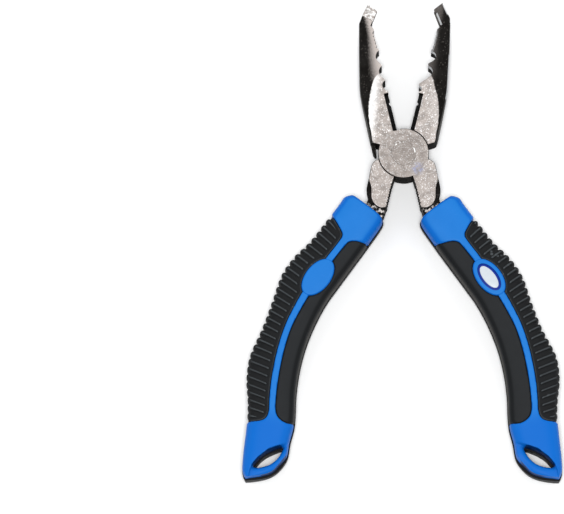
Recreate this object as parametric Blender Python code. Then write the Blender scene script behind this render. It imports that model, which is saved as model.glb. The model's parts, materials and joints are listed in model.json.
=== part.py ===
"""Split-ring fishing pliers with two-tone plastic handles, lying flat.

Two forged levers turn on one rivet.  Each lever is a jaw on one side of the
pivot and a tang on the other, so the front lever carries the left jaw and the
right handle.  Every piece is drawn with the jaws closed, in millimetres from
the pivot, with x measured outwards from the centreline, and hangs on an empty
on the pivot axis that swings its half of the tool open.
"""

import math

import bmesh
import bpy
from mathutils import Vector

# Driving dimensions, in millimetres and degrees.
HALF_OPEN_DEG = 13.5      # each lever's swing from closed to the rest pose
PIVOT_Y = 35.2            # pivot ahead of the middle of the tool at rest
MID_Z = 7.25              # half the handle thickness, the mid-plane's height
GAP = 0.3                 # between pieces that touch

JOINT_HALF = 5.5          # half the thickness across the joint
DISC_R = 10.2
DISC_CLEAR = 0.35         # ring gap between a disc and the other lever
LAP_GAP = 0.15            # each disc stops this far from the mid-plane
PIN_R = 3.0
HEAD_R = 4.8
HEAD_DEPTH = 1.7
HEAD_LIP = 0.3            # straight edge of the head before it tapers to the pin
PIN_CLEAR = 0.2
SEAT_CLEAR = 0.08         # under the rivet heads
SEAT_SPARE = 0.5          # the bore's cutter stands this far past the faces
ROUND_STEPS = 56
PIN_STEPS = 40
NICK_STEPS = 14
FAR = 20.0                # long enough to pass right through the tool

FRONT_JAW_INNER = (       # distance along the jaw, distance out to its inner edge
    (0.0, 0.15), (37.6, 0.1), (42.0, 0.0), (44.2, -0.3), (46.0, 0.0), (51.3, 0.0), (53.5, -0.4),
    (54.4, 0.1), (55.3, 0.6), (61.2, -3.6), (64.9, -0.9),
)
FRONT_JAW_OUTER = (
    (0.0, 11.9), (8.0, 11.9), (16.0, 11.75), (22.0, 11.6), (27.0, 11.35), (31.0, 10.9),
    (37.0, 9.6), (45.0, 7.8), (52.0, 6.15), (57.9, 4.7), (61.4, 2.3), (64.9, -0.7),
)
REAR_JAW_INNER = (
    (0.0, 0.15), (27.2, 0.15), (28.2, -0.6), (30.6, -0.6), (36.0, 0.7), (44.3, 0.9), (47.4, 1.2),
    (53.8, 1.15), (55.5, 2.3), (61.8, -2.1), (65.3, 0.6),
)
REAR_JAW_OUTER = (
    (0.0, 12.0), (8.0, 12.1), (16.0, 11.95), (22.0, 11.7), (27.0, 11.4), (31.0, 11.0), (37.0, 9.9),
    (45.0, 8.4), (52.0, 6.95), (58.2, 5.6), (60.3, 5.1), (65.3, 0.8),
)
JAW_CREST = (             # distance along the jaw, height of its forged crest
    (0.0, 9.6), (11.0, 9.0), (18.5, 7.8), (23.5, 6.7), (27.0, 6.1), (30.5, 5.75),
    (34.0, 5.5), (45.0, 4.6), (55.0, 3.6), (65.4, 2.8),
)
JAW_START_Y = 9.0         # first full section beyond the slanting shoulder
JAW_SWELL = 3.0           # exponent of the jaw's rounded section
JAW_STEPS = 8
SHOULDER_Y = 1.0
SHOULDER_SLOPE = 0.57
TIP_END_Y = 70.0          # cutters for the tips run out past here
TONGUE_HALF = 1.05        # half thickness of the ground tongue
TONGUE_STEP = ((-5.0, 51.9), (0.0, 57.5), (5.5, 63.7))
SLOT_HALF = 1.4           # half width of the slot the tongue enters
SLOT_FLOOR = ((-5.0, 58.9), (0.3, 53.2), (5.5, 58.3))
FRONT_NOTCHES = (         # the crimping nests and the teeth between them
    (0.0, 44.0), (0.75, 43.4), (1.65, 41.6), (1.4, 40.2), (0.05, 37.6),
    (1.5, 36.2), (1.85, 35.0), (1.6, 33.8), (0.1, 31.3), (1.65, 30.0), (1.85, 29.1), (1.5, 28.0), (0.1, 26.3),
)
REAR_NOTCHES = (          # two nests, then the nib that enters the other jaw
    (0.9, 44.2), (2.3, 43.9), (3.3, 42.6), (3.1, 41.0), (1.1, 38.7),
    (1.25, 37.9), (2.9, 37.0), (3.65, 35.6), (3.3, 34.2), (-0.6, 29.5), (-0.5, 29.0), (0.8, 28.1), (1.0, 27.2),
    (0.6, 26.5),
)
NOTCH_FAR_X = -6.0
FRONT_SERRATION_X = -0.1
REAR_SERRATION_X = 1.0
SERRATION_RANGE = (45.0, 52.8)
SERRATION_PITCH = 1.56
SERRATION_DEPTH = 0.7
TOOTH_CREST = 0.45        # where a saw tooth peaks, as a share of its pitch
TOOTH_FOOT = 0.98         # and where it ends
CUTTER_RANGE = (9.8, 25.9)
CUTTER_EDGE_X = 0.15
CUTTER_FAR_X = -1.0
CUTTER_WIDTH = 2.0
CUTTER_LAND = 0.35
CUTTER_SPARE = 0.2        # the bevel's cutter stands this far past the ground faces
WIRE_NICK = (22.3, 0.9)   # along the cutter, radius

TANG_PLATE = (            # the full-thickness plate behind each disc
    (6.6, -3.6), (9.1, -4.6), (10.7, -6.0), (11.3, -7.8), (11.3, -11.5), (10.9, -14.2), (9.6, -16.4),
    (8.9, -19.0), (8.2, -21.2), (6.6, -23.1), (4.4, -24.0), (2.6, -23.8), (1.5, -22.6),
    (1.6, -16.5), (1.5, -12.0), (1.2, -9.4), (0.4, -8.0),
)
TANG_BODY_HALF = 3.4
TANG_BODY = (
    (6.6, -5.0), (10.9, -8.0), (11.3, -12.5), (11.2, -17.2), (10.4, -19.4), (9.7, -21.0), (9.8, -27.0),
    (8.8, -28.4), (3.4, -28.4), (1.9, -26.8), (1.6, -20.0), (1.6, -12.0), (2.0, -9.0),
)
TANG_TEETH = (-13.0, -22.0)
TANG_TOOTH_PITCH = 1.2
TANG_TOOTH_DEPTH = 0.5
TANG_TOOTH_X = 1.55
TANG_TOOTH_FAR_X = 0.2
SHANK_HALF = 2.2
SHANK_SMOOTH = 3          # steps between the shank's route points
SHANK_ROUTE = (           # centreline of the shank hidden in the handle, and half width
    ((6.1, -26.0), 2.8), ((9.6, -35.0), 3.0), ((14.6, -45.0), 3.0), ((19.8, -55.0), 3.0),
    ((23.9, -65.0), 2.7), ((26.4, -76.0), 2.4),
)
STOP_LUG_Z = (-4.6, 1.2)
STOP_LUG = ((9.9, 8.6), (11.7, 8.6), (11.75, 3.9), (11.3, 2.7), (10.6, 2.5))

# Handle stations: inner edge point and outer edge point, from collar to loop.
HANDLE_STATIONS = (
    ((2.1, -27.4), (15.9, -21.2)), ((1.1, -28.9), (18.6, -22.9)), ((1.6, -31.6), (19.7, -25.6)),
    ((4.2, -38.4), (21.8, -30.6)), ((6.5, -44.2), (24.1, -35.4)), ((9.3, -51.0), (27.9, -43.8)),
    ((12.5, -58.8), (32.7, -51.6)), ((15.5, -66.5), (35.8, -60.0)), ((17.9, -76.0), (36.9, -71.5)),
    ((19.3, -86.0), (38.2, -82.8)), ((19.4, -96.0), (40.2, -94.5)), ((18.4, -105.5), (39.4, -104.0)),
    ((16.9, -113.0), (37.0, -112.0)), ((16.0, -119.0), (35.3, -119.0)), ((16.1, -125.0), (34.4, -125.0)),
    ((15.8, -131.5), (33.5, -132.5)), ((17.8, -136.6), (32.6, -138.4)), ((20.6, -139.8), (32.1, -140.8)),
    ((24.2, -141.8), (31.3, -142.7)), ((28.2, -143.3), (30.2, -143.9)),
)
HANDLE_TRIM = {           # the handles are not exact mirror images: side, (along, edge shift outwards)
    1.0: {
        "inner": ((-145.0, -1.0), (-130.0, -1.3), (-20.0, -1.3)),
        "outer": ((-145.0, -0.8), (-118.0, -0.6), (-105.0, 0.0), (-92.0, 0.0), (-80.0, -0.9), (-20.0, -0.9)),
    },
    -1.0: {
        "inner": ((-145.0, 0.3), (-20.0, 0.3)),
        "outer": ((-145.0, 0.3), (-20.0, 0.5)),
    },
}
HANDLE_SWELL = 4.0        # exponent of the handle's rounded section
HANDLE_STEPS = 46
SECTION_STEPS = 12
FRONT_HEIGHT = 7.25       # crown of the front above the mid-plane
BACK_HEIGHT = 7.25
FLAT_BACK = 0.82          # the section's back is cut flat here, as a share of its height
PARTING_Z = -0.35         # the shells meet here, measured from the mid-plane
COLLAR_ROUND = 0.9
COLLAR_SHARE = 0.004      # the first of the handle's length, which the rounding lowers
TAIL_START = 0.9          # the handle thins towards the loop from this share of its length
TAIL_THINNING = 0.18
OUTLINE_SMOOTH = 3        # steps between the points of a drawn outline
EDGE_SMOOTH = 8           # steps between handle stations

GRIP_EDGE = (             # boundary between the blue front shell and the ribbed grip
    (24.0, -29.2), (21.6, -32.0), (17.3, -36.7), (16.0, -38.8), (16.6, -41.6), (20.0, -49.4), (24.3, -60.0),
    (26.1, -65.6), (27.6, -71.0), (29.5, -80.0), (30.2, -90.6), (29.7, -102.0), (28.7, -109.5),
    (27.6, -115.6), (28.2, -118.6), (30.4, -120.2), (34.0, -121.3), (38.0, -122.4),
)
PAD_EDGE = (              # boundary between the blue front shell and the inner pad
    (0.0, -38.8), (5.6, -39.9), (9.8, -40.0), (12.4, -40.8), (13.8, -42.6), (17.0, -49.6), (21.2, -60.0),
    (23.3, -66.6), (25.0, -72.4), (26.9, -80.8), (27.5, -91.0), (27.0, -101.6), (26.1, -109.0),
    (25.0, -114.4), (23.0, -117.3), (19.4, -118.5), (15.6, -117.6), (11.0, -115.8),
)
GRIP_FAR_X = 48.0
PAD_FAR_X = -6.0
RIB_START_Y = -32.4       # the ribs run along the outer edge between these
RIB_END_Y = -120.4
RIB_COUNT = 29
RIB_DEPTH = 0.75
RIB_FADE = (1.6, 0.2)     # how a rib's height fades inwards across the section
RIB_LEAD = 2.0            # plain stretch before the first rib and after the last

BOSS_CENTRE = (21.4, -58.0)
BOSS_HALF = (8.6, 5.0)
BOSS_TILT_DEG = -66.0
BOSS_TOP = 7.5
BADGE_BASE_HALF = (6.4, 3.4)
BADGE_PLATE_HALF = (5.3, 2.4)
BADGE_FLOOR = 6.0
BADGE_BASE_TOP = BOSS_TOP - 0.55
BADGE_PLATE_TOP = BOSS_TOP + 0.1

LOOP_HOLE = (
    (28.9, -138.4), (27.5, -135.0), (23.8, -130.6), (19.9, -128.3), (18.3, -128.9), (18.7, -132.7),
    (21.3, -137.1), (25.3, -139.6), (28.1, -139.9),
)
LOOP_STEP = (             # beyond this line the loop's rim is lower than the handle's face
    (12.0, -126.2), (16.6, -127.0), (19.9, -128.4), (24.4, -131.4), (27.8, -135.4), (29.4, -138.6),
    (29.9, -141.0), (30.2, -147.0), (12.0, -147.0),
)
RIM_TOP = 5.4

MM = 0.001
FLAT = 0.01               # heights closer than this are one height
WELD = 0.002              # points closer than this are one point
SMOOTH_DEG = 32.0         # sharper edges than this stay sharp
MITRE_LIMIT = 0.5         # keeps a sharp corner from running out when an outline grows
OVAL_STEPS = 36
SLAB_HALF = 90.0          # half the side of the slab that trims a lever


def clear_scene():
    for old in list(bpy.data.objects):
        bpy.data.objects.remove(old, do_unlink=True)


def make_material(name, colour, metallic, roughness):
    material = bpy.data.materials.new(name)
    material.use_nodes = True
    shader = material.node_tree.nodes["Principled BSDF"]
    shader.inputs["Base Color"].default_value = (*colour, 1.0)
    shader.inputs["Metallic"].default_value = metallic
    shader.inputs["Roughness"].default_value = roughness
    return material


def lookup(table, station):
    """Value at a station in a table of (station, value) pairs, straight between them."""
    if station <= table[0][0]:
        return table[0][1]
    for (low, first), (high, second) in zip(table, table[1:]):
        if station <= high:
            return first + (second - first) * (station - low) / (high - low)
    return table[-1][1]


def smooth_line(points, steps):
    """Points on a smooth curve through the given ones, with some steps between each pair."""
    knots = [Vector(point) for point in points]
    before = [knots[0] * 2.0 - knots[1]] + knots[:-1]
    after = knots[1:] + [knots[-1] * 2.0 - knots[-2]]
    line = []
    for index in range(len(knots) - 1):
        start = knots[index]
        end = knots[index + 1]
        leave = (end - before[index]) / 2.0
        arrive = (after[index + 1] - start) / 2.0
        for step in range(steps):
            t = step / steps
            point = start * (2 * t**3 - 3 * t**2 + 1) + leave * (t**3 - 2 * t**2 + t)
            line.append(point + end * (3 * t**2 - 2 * t**3) + arrive * (t**3 - t**2))
    line.append(knots[-1])
    return line


def smooth_loop(points, steps):
    """Points on a smooth closed curve through the given ones."""
    count = len(points)
    wrapped = [points[-1], *points, points[0], points[1]]
    return smooth_line(wrapped, steps)[steps:steps * (count + 1)]


def grow(outline, distance):
    """The closed outline moved outwards by a distance."""
    points = [Vector(point) for point in outline]
    area = sum(a.x * b.y - b.x * a.y for a, b in zip(points, points[1:] + points[:1]))
    turn = 1.0 if area > 0 else -1.0
    grown = []
    for index, point in enumerate(points):
        arrive = (point - points[index - 1]).normalized()
        leave = (points[(index + 1) % len(points)] - point).normalized()
        normal = Vector((arrive.y + leave.y, -arrive.x - leave.x)).normalized() * turn
        corner = max(MITRE_LIMIT, normal.dot(Vector((leave.y, -leave.x))) * turn)
        grown.append(point + normal * distance / corner)
    return grown


def ellipse(centre, half, tilt_deg, steps=OVAL_STEPS):
    tilt = math.radians(tilt_deg)
    points = []
    for step in range(steps):
        angle = math.tau * step / steps
        along = half[0] * math.cos(angle)
        across = half[1] * math.sin(angle)
        x = centre[0] + along * math.cos(tilt) - across * math.sin(tilt)
        y = centre[1] + along * math.sin(tilt) + across * math.cos(tilt)
        points.append(Vector((x, y)))
    return points


def circle(radius, steps=ROUND_STEPS, centre=(0.0, 0.0)):
    return ellipse(centre, (radius, radius), 0.0, steps)


def solid_from_rings(name, rings):
    """A closed solid skinned over rings of points given in millimetres."""
    mesh_data = bmesh.new()
    loops = [[mesh_data.verts.new(Vector(point) * MM) for point in ring] for ring in rings]
    for first, second in zip(loops, loops[1:]):
        for index in range(len(first)):
            following = (index + 1) % len(first)
            mesh_data.faces.new((first[index], first[following], second[following], second[index]))
    mesh_data.faces.new(loops[0])
    mesh_data.faces.new(loops[-1])
    bmesh.ops.recalc_face_normals(mesh_data, faces=mesh_data.faces)
    mesh = bpy.data.meshes.new(name)
    mesh_data.to_mesh(mesh)
    mesh_data.free()
    solid = bpy.data.objects.new(name, mesh)
    bpy.context.scene.collection.objects.link(solid)
    return solid


def prism(outline, low, high, side=1.0):
    """An upright prism over an outline, between two heights."""
    rings = [[(point[0] * side, point[1], height) for point in outline] for height in (low, high)]
    return solid_from_rings("prism", rings)


def bar_along_y(section, start, end, side=1.0):
    """A straight bar along Y over a section given as (x, z) points."""
    rings = [[(x * side, station, z) for x, z in section] for station in (start, end)]
    return solid_from_rings("bar", rings)


def combine(target, tool, operation):
    """Boolean one solid with another, which is used up."""
    modifier = target.modifiers.new("combine", "BOOLEAN")
    modifier.operation = operation
    modifier.solver = "EXACT"
    modifier.object = tool
    view = bpy.context.evaluated_depsgraph_get()
    result = bpy.data.meshes.new_from_object(target.evaluated_get(view))
    target.modifiers.clear()
    target.data = result
    bpy.data.objects.remove(tool, do_unlink=True)
    return target


def join(target, tool):
    return combine(target, tool, "UNION")


def cut(target, tool):
    return combine(target, tool, "DIFFERENCE")


def keep_inside(target, tool):
    return combine(target, tool, "INTERSECT")


def finish(solid, name, material, parent):
    """Name, colour and shade a solid, and hang it on its half of the tool."""
    solid.name = name
    solid.data.name = name
    solid.data.materials.clear()
    solid.data.materials.append(material)
    mesh_data = bmesh.new()
    mesh_data.from_mesh(solid.data)
    bmesh.ops.remove_doubles(mesh_data, verts=mesh_data.verts, dist=WELD * MM)
    bmesh.ops.dissolve_degenerate(mesh_data, edges=mesh_data.edges, dist=WELD * MM)
    mesh_data.to_mesh(solid.data)
    mesh_data.free()
    solid.data.shade_smooth()
    solid.data.set_sharp_from_angle(angle=math.radians(SMOOTH_DEG))
    solid.parent = parent
    return solid


def jaw_blank(side, inner_edge, outer_edge):
    """The forged jaw: a flat inner face, a swelling outer side and a hooked tip."""
    last = inner_edge[-1][0]
    stations = {y for y, _ in inner_edge + outer_edge + JAW_CREST}
    stations = sorted(y for y in stations if JAW_START_Y <= y <= last)
    rings = []
    for station in [None] + stations:
        along = SHOULDER_Y if station is None else station
        outer = lookup(outer_edge, along)
        inner = lookup(inner_edge, along)
        crest = lookup(JAW_CREST, along)
        front = []
        for step in range(JAW_STEPS + 1):
            share = math.sin(math.pi / 2 * step / JAW_STEPS)
            x = inner + (outer - inner) * share
            height = crest * max(0.0, 1.0 - share**JAW_SWELL) ** (1.0 / JAW_SWELL)
            y = SHOULDER_Y + SHOULDER_SLOPE * x if station is None else along
            front.append((x * side, y, height))
        rings.append(front + [(x, y, -z) for x, y, z in reversed(front[:-1])])
    return solid_from_rings("jaw", rings)


def serration_comb(side, start, end, pitch, depth, face_x, far_x):
    """Saw teeth standing in from a face, as the cutter that leaves them."""
    outline = [(far_x, start), (face_x, start)]
    steps = round((end - start) / pitch)
    run = (end - start) / steps
    for step in range(steps):
        base = start + run * step
        outline.append((face_x + depth, base + run * TOOTH_CREST))
        outline.append((face_x, base + run * TOOTH_FOOT))
    outline.append((far_x, end))
    return prism(outline, -FAR, FAR, side)


def cut_jaw_details(lever, side, notches, face_x):
    """Crimping nests, gripping teeth and the side cutter with its wire nick."""
    nests = [(NOTCH_FAR_X, notches[0][1]), *notches, (NOTCH_FAR_X, notches[-1][1])]
    cut(lever, prism(nests, -FAR, FAR, side))
    start, end = SERRATION_RANGE
    far_x = face_x - 2 * SERRATION_DEPTH
    cut(lever, serration_comb(side, start, end, SERRATION_PITCH, SERRATION_DEPTH, face_x, far_x))
    top = JOINT_HALF + CUTTER_SPARE
    for face in (1.0, -1.0):
        wedge = [
            (CUTTER_FAR_X, CUTTER_LAND * face), (CUTTER_EDGE_X, CUTTER_LAND * face),
            (CUTTER_EDGE_X + CUTTER_WIDTH, top * face), (CUTTER_FAR_X, top * face),
        ]
        cut(lever, bar_along_y(wedge, *CUTTER_RANGE, side))
    along, radius = WIRE_NICK
    cut(lever, prism(circle(radius, NICK_STEPS, (0.0, along)), -FAR, FAR, side))


def cut_tip(lever, side, forked):
    """Grind the tongue thin on both faces, or slot the fork that it enters."""
    far_x, near_x = SLOT_FLOOR[-1][0], SLOT_FLOOR[0][0]
    if forked:
        slot = [*SLOT_FLOOR, (far_x, TIP_END_Y), (near_x, TIP_END_Y)]
        cut(lever, prism(slot, -SLOT_HALF, SLOT_HALF, side))
    else:
        step = [*TONGUE_STEP, (far_x, TIP_END_Y), (near_x, TIP_END_Y)]
        cut(lever, prism(step, TONGUE_HALF, FAR, side))
        cut(lever, prism(step, -FAR, -TONGUE_HALF, side))


def half_slab(lever, low, high):
    """Trim the lever to the ground faces of the joint."""
    wide = SLAB_HALF
    keep_inside(lever, prism([(-wide, -wide), (wide, -wide), (wide, wide), (-wide, wide)], low, high))


def shank_outline(extra=0.0):
    """The tapering shank that holds the handle, or with some extra its socket."""
    centres = smooth_line([point for point, _ in SHANK_ROUTE], SHANK_SMOOTH)
    widths = tuple(enumerate(width for _, width in SHANK_ROUTE))
    left = []
    right = []
    for index, point in enumerate(centres):
        ahead = centres[min(index + 1, len(centres) - 1)]
        behind = centres[max(index - 1, 0)]
        across = (ahead - behind).orthogonal().normalized()
        half = lookup(widths, index / SHANK_SMOOTH) + extra
        left.append(point + across * half)
        right.append(point - across * half)
    tail = (centres[-1] - centres[-2]).normalized() * extra
    left[-1] += tail
    right[-1] += tail
    return left + right[::-1]


def build_lever(name, material, parent, jaw_side, front):
    """One lever: jaw, half-thick disc, tang and the shank inside the handle."""
    tang_side = -jaw_side
    if front:
        lever = jaw_blank(jaw_side, FRONT_JAW_INNER, FRONT_JAW_OUTER)
    else:
        lever = jaw_blank(jaw_side, REAR_JAW_INNER, REAR_JAW_OUTER)
    plate = prism(TANG_PLATE, -FAR, FAR, tang_side)
    join(plate, prism(TANG_BODY, -TANG_BODY_HALF, TANG_BODY_HALF, tang_side))
    join(plate, prism(shank_outline(), -SHANK_HALF, SHANK_HALF, tang_side))
    start, end = TANG_TEETH
    pitch, depth = TANG_TOOTH_PITCH, TANG_TOOTH_DEPTH
    cut(plate, serration_comb(tang_side, end, start, pitch, depth, TANG_TOOTH_X, TANG_TOOTH_FAR_X))
    if front:
        join(lever, prism(STOP_LUG, *STOP_LUG_Z, jaw_side))
        low, high = -FAR, LAP_GAP
        disc_low, disc_high = LAP_GAP, FAR
    else:
        low, high = -LAP_GAP, FAR
        disc_low, disc_high = -FAR, -LAP_GAP
    clearance = circle(DISC_R + DISC_CLEAR)
    cut(lever, prism(clearance, low, high))
    cut(plate, prism(clearance, low, high))
    join(lever, prism(circle(DISC_R), disc_low, disc_high))
    join(lever, plate)
    half_slab(lever, -JOINT_HALF, JOINT_HALF)
    if front:
        cut_jaw_details(lever, jaw_side, FRONT_NOTCHES, FRONT_SERRATION_X)
    else:
        cut_jaw_details(lever, jaw_side, REAR_NOTCHES, REAR_SERRATION_X)
    cut_tip(lever, jaw_side, forked=not front)
    cut(lever, pin_solid(PIN_CLEAR, SEAT_CLEAR, SEAT_SPARE))
    return finish(lever, name, material, parent)


def pin_solid(round_extra=0.0, seat_extra=0.0, end_extra=0.0):
    """The rivet, or with some extra the hole it turns in."""
    head = HEAD_R + round_extra
    pin = PIN_R + round_extra
    neck = JOINT_HALF - HEAD_DEPTH + seat_extra
    lip = JOINT_HALF - HEAD_LIP
    upper = [(pin, neck), (head, lip), (head, JOINT_HALF + end_extra)]
    profile = [(radius, -height) for radius, height in reversed(upper)] + upper
    rings = []
    for radius, height in profile:
        rings.append([(point.x, point.y, height) for point in circle(radius, PIN_STEPS)])
    return solid_from_rings("pin", rings)


def handle_lines(side):
    """A handle's inner and outer edges, as matching points from collar to loop."""
    trims = HANDLE_TRIM[side]
    lines = []
    for column, edge in enumerate(("inner", "outer")):
        points = [pair[column] for pair in HANDLE_STATIONS]
        moved = [(x + lookup(trims[edge], y), y) for x, y in points]
        lines.append(smooth_line(moved, EDGE_SMOOTH))
    return lines


def rib_places(outer):
    """Places along the outer edge of every rib's foot and crest, evenly spaced by length."""
    lengths = [0.0]
    for first, second in zip(outer, outer[1:]):
        lengths.append(lengths[-1] + (second - first).length)
    start = lookup([(-point.y, length) for point, length in zip(outer, lengths)], -RIB_START_Y)
    end = lookup([(-point.y, length) for point, length in zip(outer, lengths)], -RIB_END_Y)
    place_at = [(length, place) for place, length in enumerate(lengths)]
    steps = 2 * RIB_COUNT
    return [lookup(place_at, start + (end - start) * step / steps) for step in range(steps + 1)]


def handle_rings(side, front, ribbed):
    """Rings of the handle's front or back half, from collar to loop."""
    inner_line, outer_line = handle_lines(side)
    last = len(inner_line) - 1
    if ribbed:
        places = rib_places(outer_line)
        sinks = [RIB_DEPTH * (step % 2 == 0) for step in range(len(places))]
        places = [places[0] - RIB_LEAD, *places, places[-1] + RIB_LEAD]
        sinks = [0.0, *sinks, 0.0]
    else:
        places = [last * step / HANDLE_STEPS for step in range(HANDLE_STEPS + 1)]
        sinks = [0.0] * len(places)
    rings = []
    for place, sink in zip(places, sinks):
        index = min(int(place), last - 1)
        inner = inner_line[index].lerp(inner_line[index + 1], place - index)
        outer = outer_line[index].lerp(outer_line[index + 1], place - index)
        rings.append(handle_ring(inner, outer, place / last, front, sink))
    return rings


def handle_ring(inner, outer, share, front, sink):
    """One cross-section of a handle half, sunk towards its outer side between the ribs."""
    middle = (inner + outer) / 2
    half = (outer - inner) / 2
    direction = half.normalized()
    tail = max(0.0, (share - TAIL_START) / (1.0 - TAIL_START))
    height = (FRONT_HEIGHT if front else BACK_HEIGHT) * (1.0 - TAIL_THINNING * tail**2)
    if share < COLLAR_SHARE:
        height -= COLLAR_ROUND
    ring = []
    for step in range(SECTION_STEPS + 1):
        angle = math.pi * step / SECTION_STEPS
        across = math.copysign(abs(math.cos(angle)) ** (2.0 / HANDLE_SWELL), math.cos(angle))
        rise = abs(math.sin(angle)) ** (2.0 / HANDLE_SWELL)
        if not front:
            rise = min(rise, FLAT_BACK) / FLAT_BACK
        shift = -sink * max(0.0, across) ** 0.5
        point = middle + half * across + direction * shift
        gain, offset = RIB_FADE
        top = height * rise - sink * rise * max(0.0, min(1.0, across * gain - offset))
        ring.append((point.x, point.y, top if front else -top))
    floor = PARTING_Z + GAP / 2 if front else PARTING_Z - GAP / 2
    ring = [(x, y, max(z, floor) if front else min(z, floor)) for x, y, z in ring]
    first = ring[0]
    final = ring[-1]
    lowered = [(first[0], first[1], floor)] if abs(first[2] - floor) > FLAT else []
    closing = [(final[0], final[1], floor)] if abs(final[2] - floor) > FLAT else []
    return lowered + ring + closing


def handle_blank(side, front, ribbed=False):
    rings = handle_rings(side, front, ribbed)
    placed = [[(x * side, y, z) for x, y, z in ring] for ring in rings]
    return solid_from_rings("handle", placed)


def grip_outline():
    edge = smooth_line(GRIP_EDGE, OUTLINE_SMOOTH)
    return edge + [Vector((GRIP_FAR_X, edge[-1].y)), Vector((GRIP_FAR_X, edge[0].y))]


def pad_outline():
    edge = smooth_line(PAD_EDGE, OUTLINE_SMOOTH)
    return edge + [Vector((PAD_FAR_X, edge[-1].y)), Vector((PAD_FAR_X, edge[0].y))]


def boss_prism(side, low, high, extra=0.0):
    """The oval boss on the handle's shoulder, or with some extra the space around it."""
    half = (BOSS_HALF[0] + extra, BOSS_HALF[1] + extra)
    return prism(ellipse(BOSS_CENTRE, half, BOSS_TILT_DEG), low, high, side)


def clear_the_tang(solid, side):
    """Cut the socket that the tang and its shank sit in."""
    body = prism(grow(TANG_BODY, GAP), -TANG_BODY_HALF - GAP, TANG_BODY_HALF + GAP, side)
    shank = prism(shank_outline(GAP), -SHANK_HALF - GAP, SHANK_HALF + GAP, side)
    cut(solid, body)
    cut(solid, shank)


def build_handle(prefix, side, materials, parent, with_badge):
    """Front shell, back shell, ribbed grip and inner pad of one handle."""
    back = handle_blank(side, front=False)
    clear_the_tang(back, side)
    cut(back, prism(smooth_loop(LOOP_HOLE, OUTLINE_SMOOTH), -FAR, FAR, side))
    finish(back, prefix + "_back_shell", materials["back"], parent)

    grip = handle_blank(side, front=True, ribbed=True)
    keep_inside(grip, prism(grow(grip_outline(), -GAP), -FAR, FAR, side))
    cut(grip, boss_prism(side, -FAR, FAR, GAP))
    clear_the_tang(grip, side)
    finish(grip, prefix + "_ribbed_grip", materials["rubber"], parent)

    pad = handle_blank(side, front=True)
    keep_inside(pad, prism(grow(pad_outline(), -GAP), -FAR, FAR, side))
    cut(pad, boss_prism(side, -FAR, FAR, GAP))
    clear_the_tang(pad, side)
    finish(pad, prefix + "_inner_pad", materials["rubber"], parent)

    shell = handle_blank(side, front=True)
    cut(shell, prism(grip_outline(), -FAR, FAR, side))
    cut(shell, prism(pad_outline(), -FAR, FAR, side))
    join(shell, boss_prism(side, PARTING_Z + GAP / 2, BOSS_TOP))
    cut(shell, prism(LOOP_STEP, RIM_TOP, FAR, side))
    clear_the_tang(shell, side)
    cut(shell, prism(smooth_loop(LOOP_HOLE, OUTLINE_SMOOTH), -FAR, FAR, side))
    if with_badge:
        base_half = (BADGE_BASE_HALF[0] + GAP, BADGE_BASE_HALF[1] + GAP)
        cut(shell, prism(ellipse(BOSS_CENTRE, base_half, BOSS_TILT_DEG), BADGE_FLOOR, FAR, side))
        base_outline = ellipse(BOSS_CENTRE, BADGE_BASE_HALF, BOSS_TILT_DEG)
        base = prism(base_outline, BADGE_FLOOR + GAP, BADGE_BASE_TOP, side)
        finish(base, "badge_base", materials["badge_base"], parent)
        plate_outline = ellipse(BOSS_CENTRE, BADGE_PLATE_HALF, BOSS_TILT_DEG)
        plate = prism(plate_outline, BADGE_BASE_TOP + GAP, BADGE_PLATE_TOP, side)
        finish(plate, "badge_plate", materials["badge_plate"], parent)
    finish(shell, prefix + "_front_shell", materials["shell"], parent)


def half_of_the_tool(name, swing_deg):
    """An empty on the pivot axis, turned by its half of the opening."""
    pivot = bpy.data.objects.new(name, None)
    pivot.location = (0.0, PIVOT_Y * MM, MID_Z * MM)
    pivot.rotation_euler = (0.0, 0.0, math.radians(swing_deg))
    bpy.context.scene.collection.objects.link(pivot)
    return pivot


def build():
    clear_scene()
    steel = make_material("ground_steel", (0.42, 0.38, 0.35), 1.0, 0.38)
    rivet_steel = make_material("rivet_steel", (0.36, 0.33, 0.31), 1.0, 0.35)
    materials = {
        "shell": make_material("blue_plastic", (0.02, 0.19, 0.70), 0.0, 0.35),
        "back": make_material("black_plastic", (0.03, 0.03, 0.03), 0.0, 0.5),
        "rubber": make_material("black_rubber", (0.028, 0.03, 0.033), 0.0, 0.75),
        "badge_base": make_material("deep_blue", (0.0, 0.03, 0.30), 0.0, 0.3),
        "badge_plate": make_material("white_badge", (0.85, 0.86, 0.88), 0.0, 0.25),
    }
    front_half = half_of_the_tool("front_lever_pivot", HALF_OPEN_DEG)
    rear_half = half_of_the_tool("rear_lever_pivot", -HALF_OPEN_DEG)
    build_lever("front_lever", steel, front_half, jaw_side=-1.0, front=True)
    build_lever("rear_lever", steel, rear_half, jaw_side=1.0, front=False)
    finish(pin_solid(), "pivot_rivet", rivet_steel, front_half)
    build_handle("right", 1.0, materials, front_half, with_badge=True)
    build_handle("left", -1.0, materials, rear_half, with_badge=False)


build()
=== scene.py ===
"""The looks of a pair of split-ring fishing pliers, lying open on a pale floor."""

import json
import math

import bmesh
import bpy
import numpy as np
from mathutils import Matrix, Vector


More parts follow.
